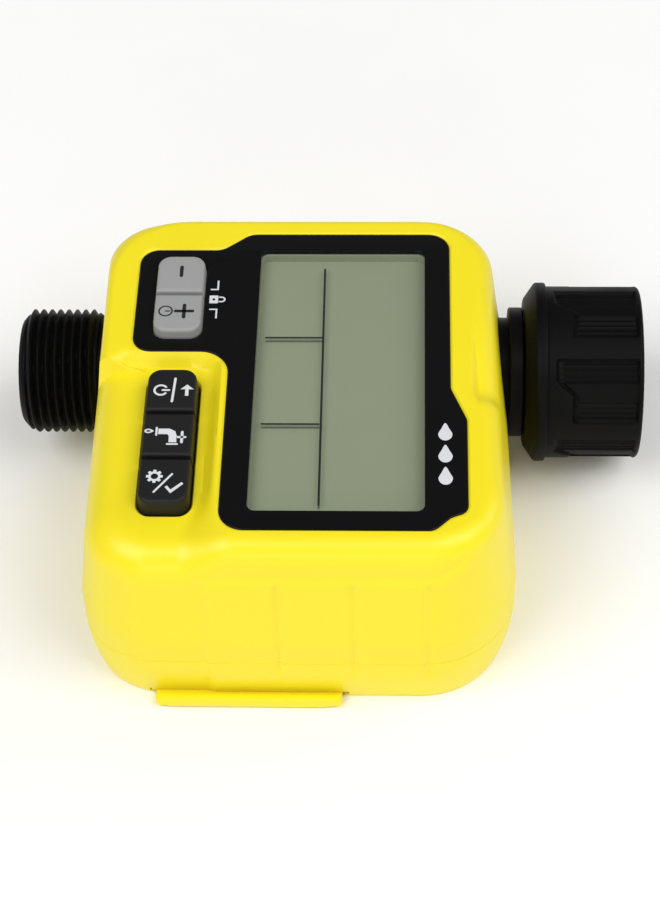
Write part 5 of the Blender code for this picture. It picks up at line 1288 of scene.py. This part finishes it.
def build_stage():
    """A white floor just under the timer, four soft lights, a pale world and the camera."""
    reach = (-FLOOR_HALF_WIDTH, FLOOR_HALF_WIDTH)
    floor = prism("floor", np.array(box_corners(reach, reach)), -FLOOR_THICK, -FLOOR_GAP)
    floor.data.materials.append(material("matt_white_floor"))
    world = bpy.data.worlds.new("studio")
    bpy.context.scene.world = world
    world.use_nodes = True
    world.node_tree.nodes["Background"].inputs["Color"].default_value = (1, 1, 1, 1)
    world.node_tree.nodes["Background"].inputs["Strength"].default_value = 0.24
    area_light("key_light", (-1.1, -0.9, 2.0), (0, 0, 0.03), (1.6, 1.6), 31)
    area_light("fill_light", (1.25, -0.7, 2.1), (0, 0, 0.03), (1.6, 1.6), 27)
    area_light("front_light", (0.0, -2.7, 0.9), (0, 0, 0.02), (2.2, 1.0), 12)
    area_light("side_light", (2.3, 0.7, 1.2), (0, 0, 0.03), (1.2, 1.2), 12)
    camera = link("camera", bpy.data.cameras.new("camera"))
    camera.data.lens = 96
    camera.data.clip_start = 0.01
    turn = Matrix.Rotation(math.radians(2.99), 4, "Z") @ Matrix.Rotation(math.radians(40.1), 4, "X")
    camera.matrix_world = (Matrix.Translation((0.01731, -0.32064, 0.40484)) @ turn
                           @ Matrix.Rotation(math.radians(-2.07), 4, "Z"))
    bpy.context.scene.camera = camera
    bpy.context.scene.view_settings.view_transform = "Standard"


# --- operators --------------------------------------------------------------------------

class TIMER_OT_inside(bpy.types.Operator):
    """Give the pieces inside the housing their materials"""
    bl_idname = "timer.inside"
    bl_label = "Inner pieces"

    def execute(self, context):
        build_inside()
        return {"FINISHED"}


class TIMER_OT_housing(bpy.types.Operator):
    """Build the two shells of the housing"""
    bl_idname = "timer.housing"
    bl_label = "Housing"

    def execute(self, context):
        build_front()
        build_rear()
        return {"FINISHED"}


class TIMER_OT_cover(bpy.types.Operator):
    """Build the sliding battery cover"""
    bl_idname = "timer.cover"
    bl_label = "Battery cover"

    def execute(self, context):
        build_cover()
        return {"FINISHED"}


class TIMER_OT_display(bpy.types.Operator):
    """Build the display surround, its marks, the window and the display"""
    bl_idname = "timer.display"
    bl_label = "Display"

    def execute(self, context):
        build_surround()
        build_window()
        build_lcd()
        build_panel_marks()
        return {"FINISHED"}


class TIMER_OT_keys(bpy.types.Operator):
    """Build the five keys and the symbols printed on them"""
    bl_idname = "timer.keys"
    bl_label = "Keys"

    def execute(self, context):
        build_keys()
        build_symbols()
        return {"FINISHED"}


class TIMER_OT_water_way(bpy.types.Operator):
    """Build the threaded outlet, the inlet neck and the swivel nut"""
    bl_idname = "timer.water_way"
    bl_label = "Water way"

    def execute(self, context):
        build_outlet()
        build_inlet()
        build_nut()
        return {"FINISHED"}


class TIMER_OT_screws(bpy.types.Operator):
    """Build the screws of the housing and the board"""
    bl_idname = "timer.screws"
    bl_label = "Screws"

    def execute(self, context):
        build_screws()
        return {"FINISHED"}


class TIMER_OT_stage(bpy.types.Operator):
    """Build the floor, the lights and the camera"""
    bl_idname = "timer.stage"
    bl_label = "Stage"

    def execute(self, context):
        build_stage()
        return {"FINISHED"}


class TIMER_PT_panel(bpy.types.Panel):
    """The timer's pieces, sizes and colours"""
    bl_idname = "TIMER_PT_panel"
    bl_label = "Drip irrigation timer"
    bl_space_type = "VIEW_3D"
    bl_region_type = "UI"
    bl_category = "Timer"

    def draw(self, context):
        for operator in OPERATORS:
            self.layout.operator(operator.bl_idname)
        for group in (sizes(), colours()):
            for name in group.bl_rna.properties.keys():
                if name not in ("rna_type", "name"):
                    self.layout.prop(group, name)


OPERATORS = (TIMER_OT_inside, TIMER_OT_housing, TIMER_OT_cover, TIMER_OT_display, TIMER_OT_keys,
             TIMER_OT_water_way, TIMER_OT_screws, TIMER_OT_stage)
CLASSES = (TimerSizes, TimerColours, *OPERATORS, TIMER_PT_panel)


def register():
    for item in CLASSES:
        bpy.utils.register_class(item)
    bpy.types.Scene.timer_sizes = bpy.props.PointerProperty(type=TimerSizes)
    bpy.types.Scene.timer_colours = bpy.props.PointerProperty(type=TimerColours)


def unregister():
    del bpy.types.Scene.timer_colours
    del bpy.types.Scene.timer_sizes
    for item in reversed(CLASSES):
        bpy.utils.unregister_class(item)


def main():
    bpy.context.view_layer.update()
    register()
    bpy.ops.timer.inside()
    bpy.ops.timer.housing()
    bpy.ops.timer.cover()
    bpy.ops.timer.display()
    bpy.ops.timer.keys()
    bpy.ops.timer.water_way()
    bpy.ops.timer.screws()
    bpy.ops.timer.stage()


if __name__ == "__main__":
    main()
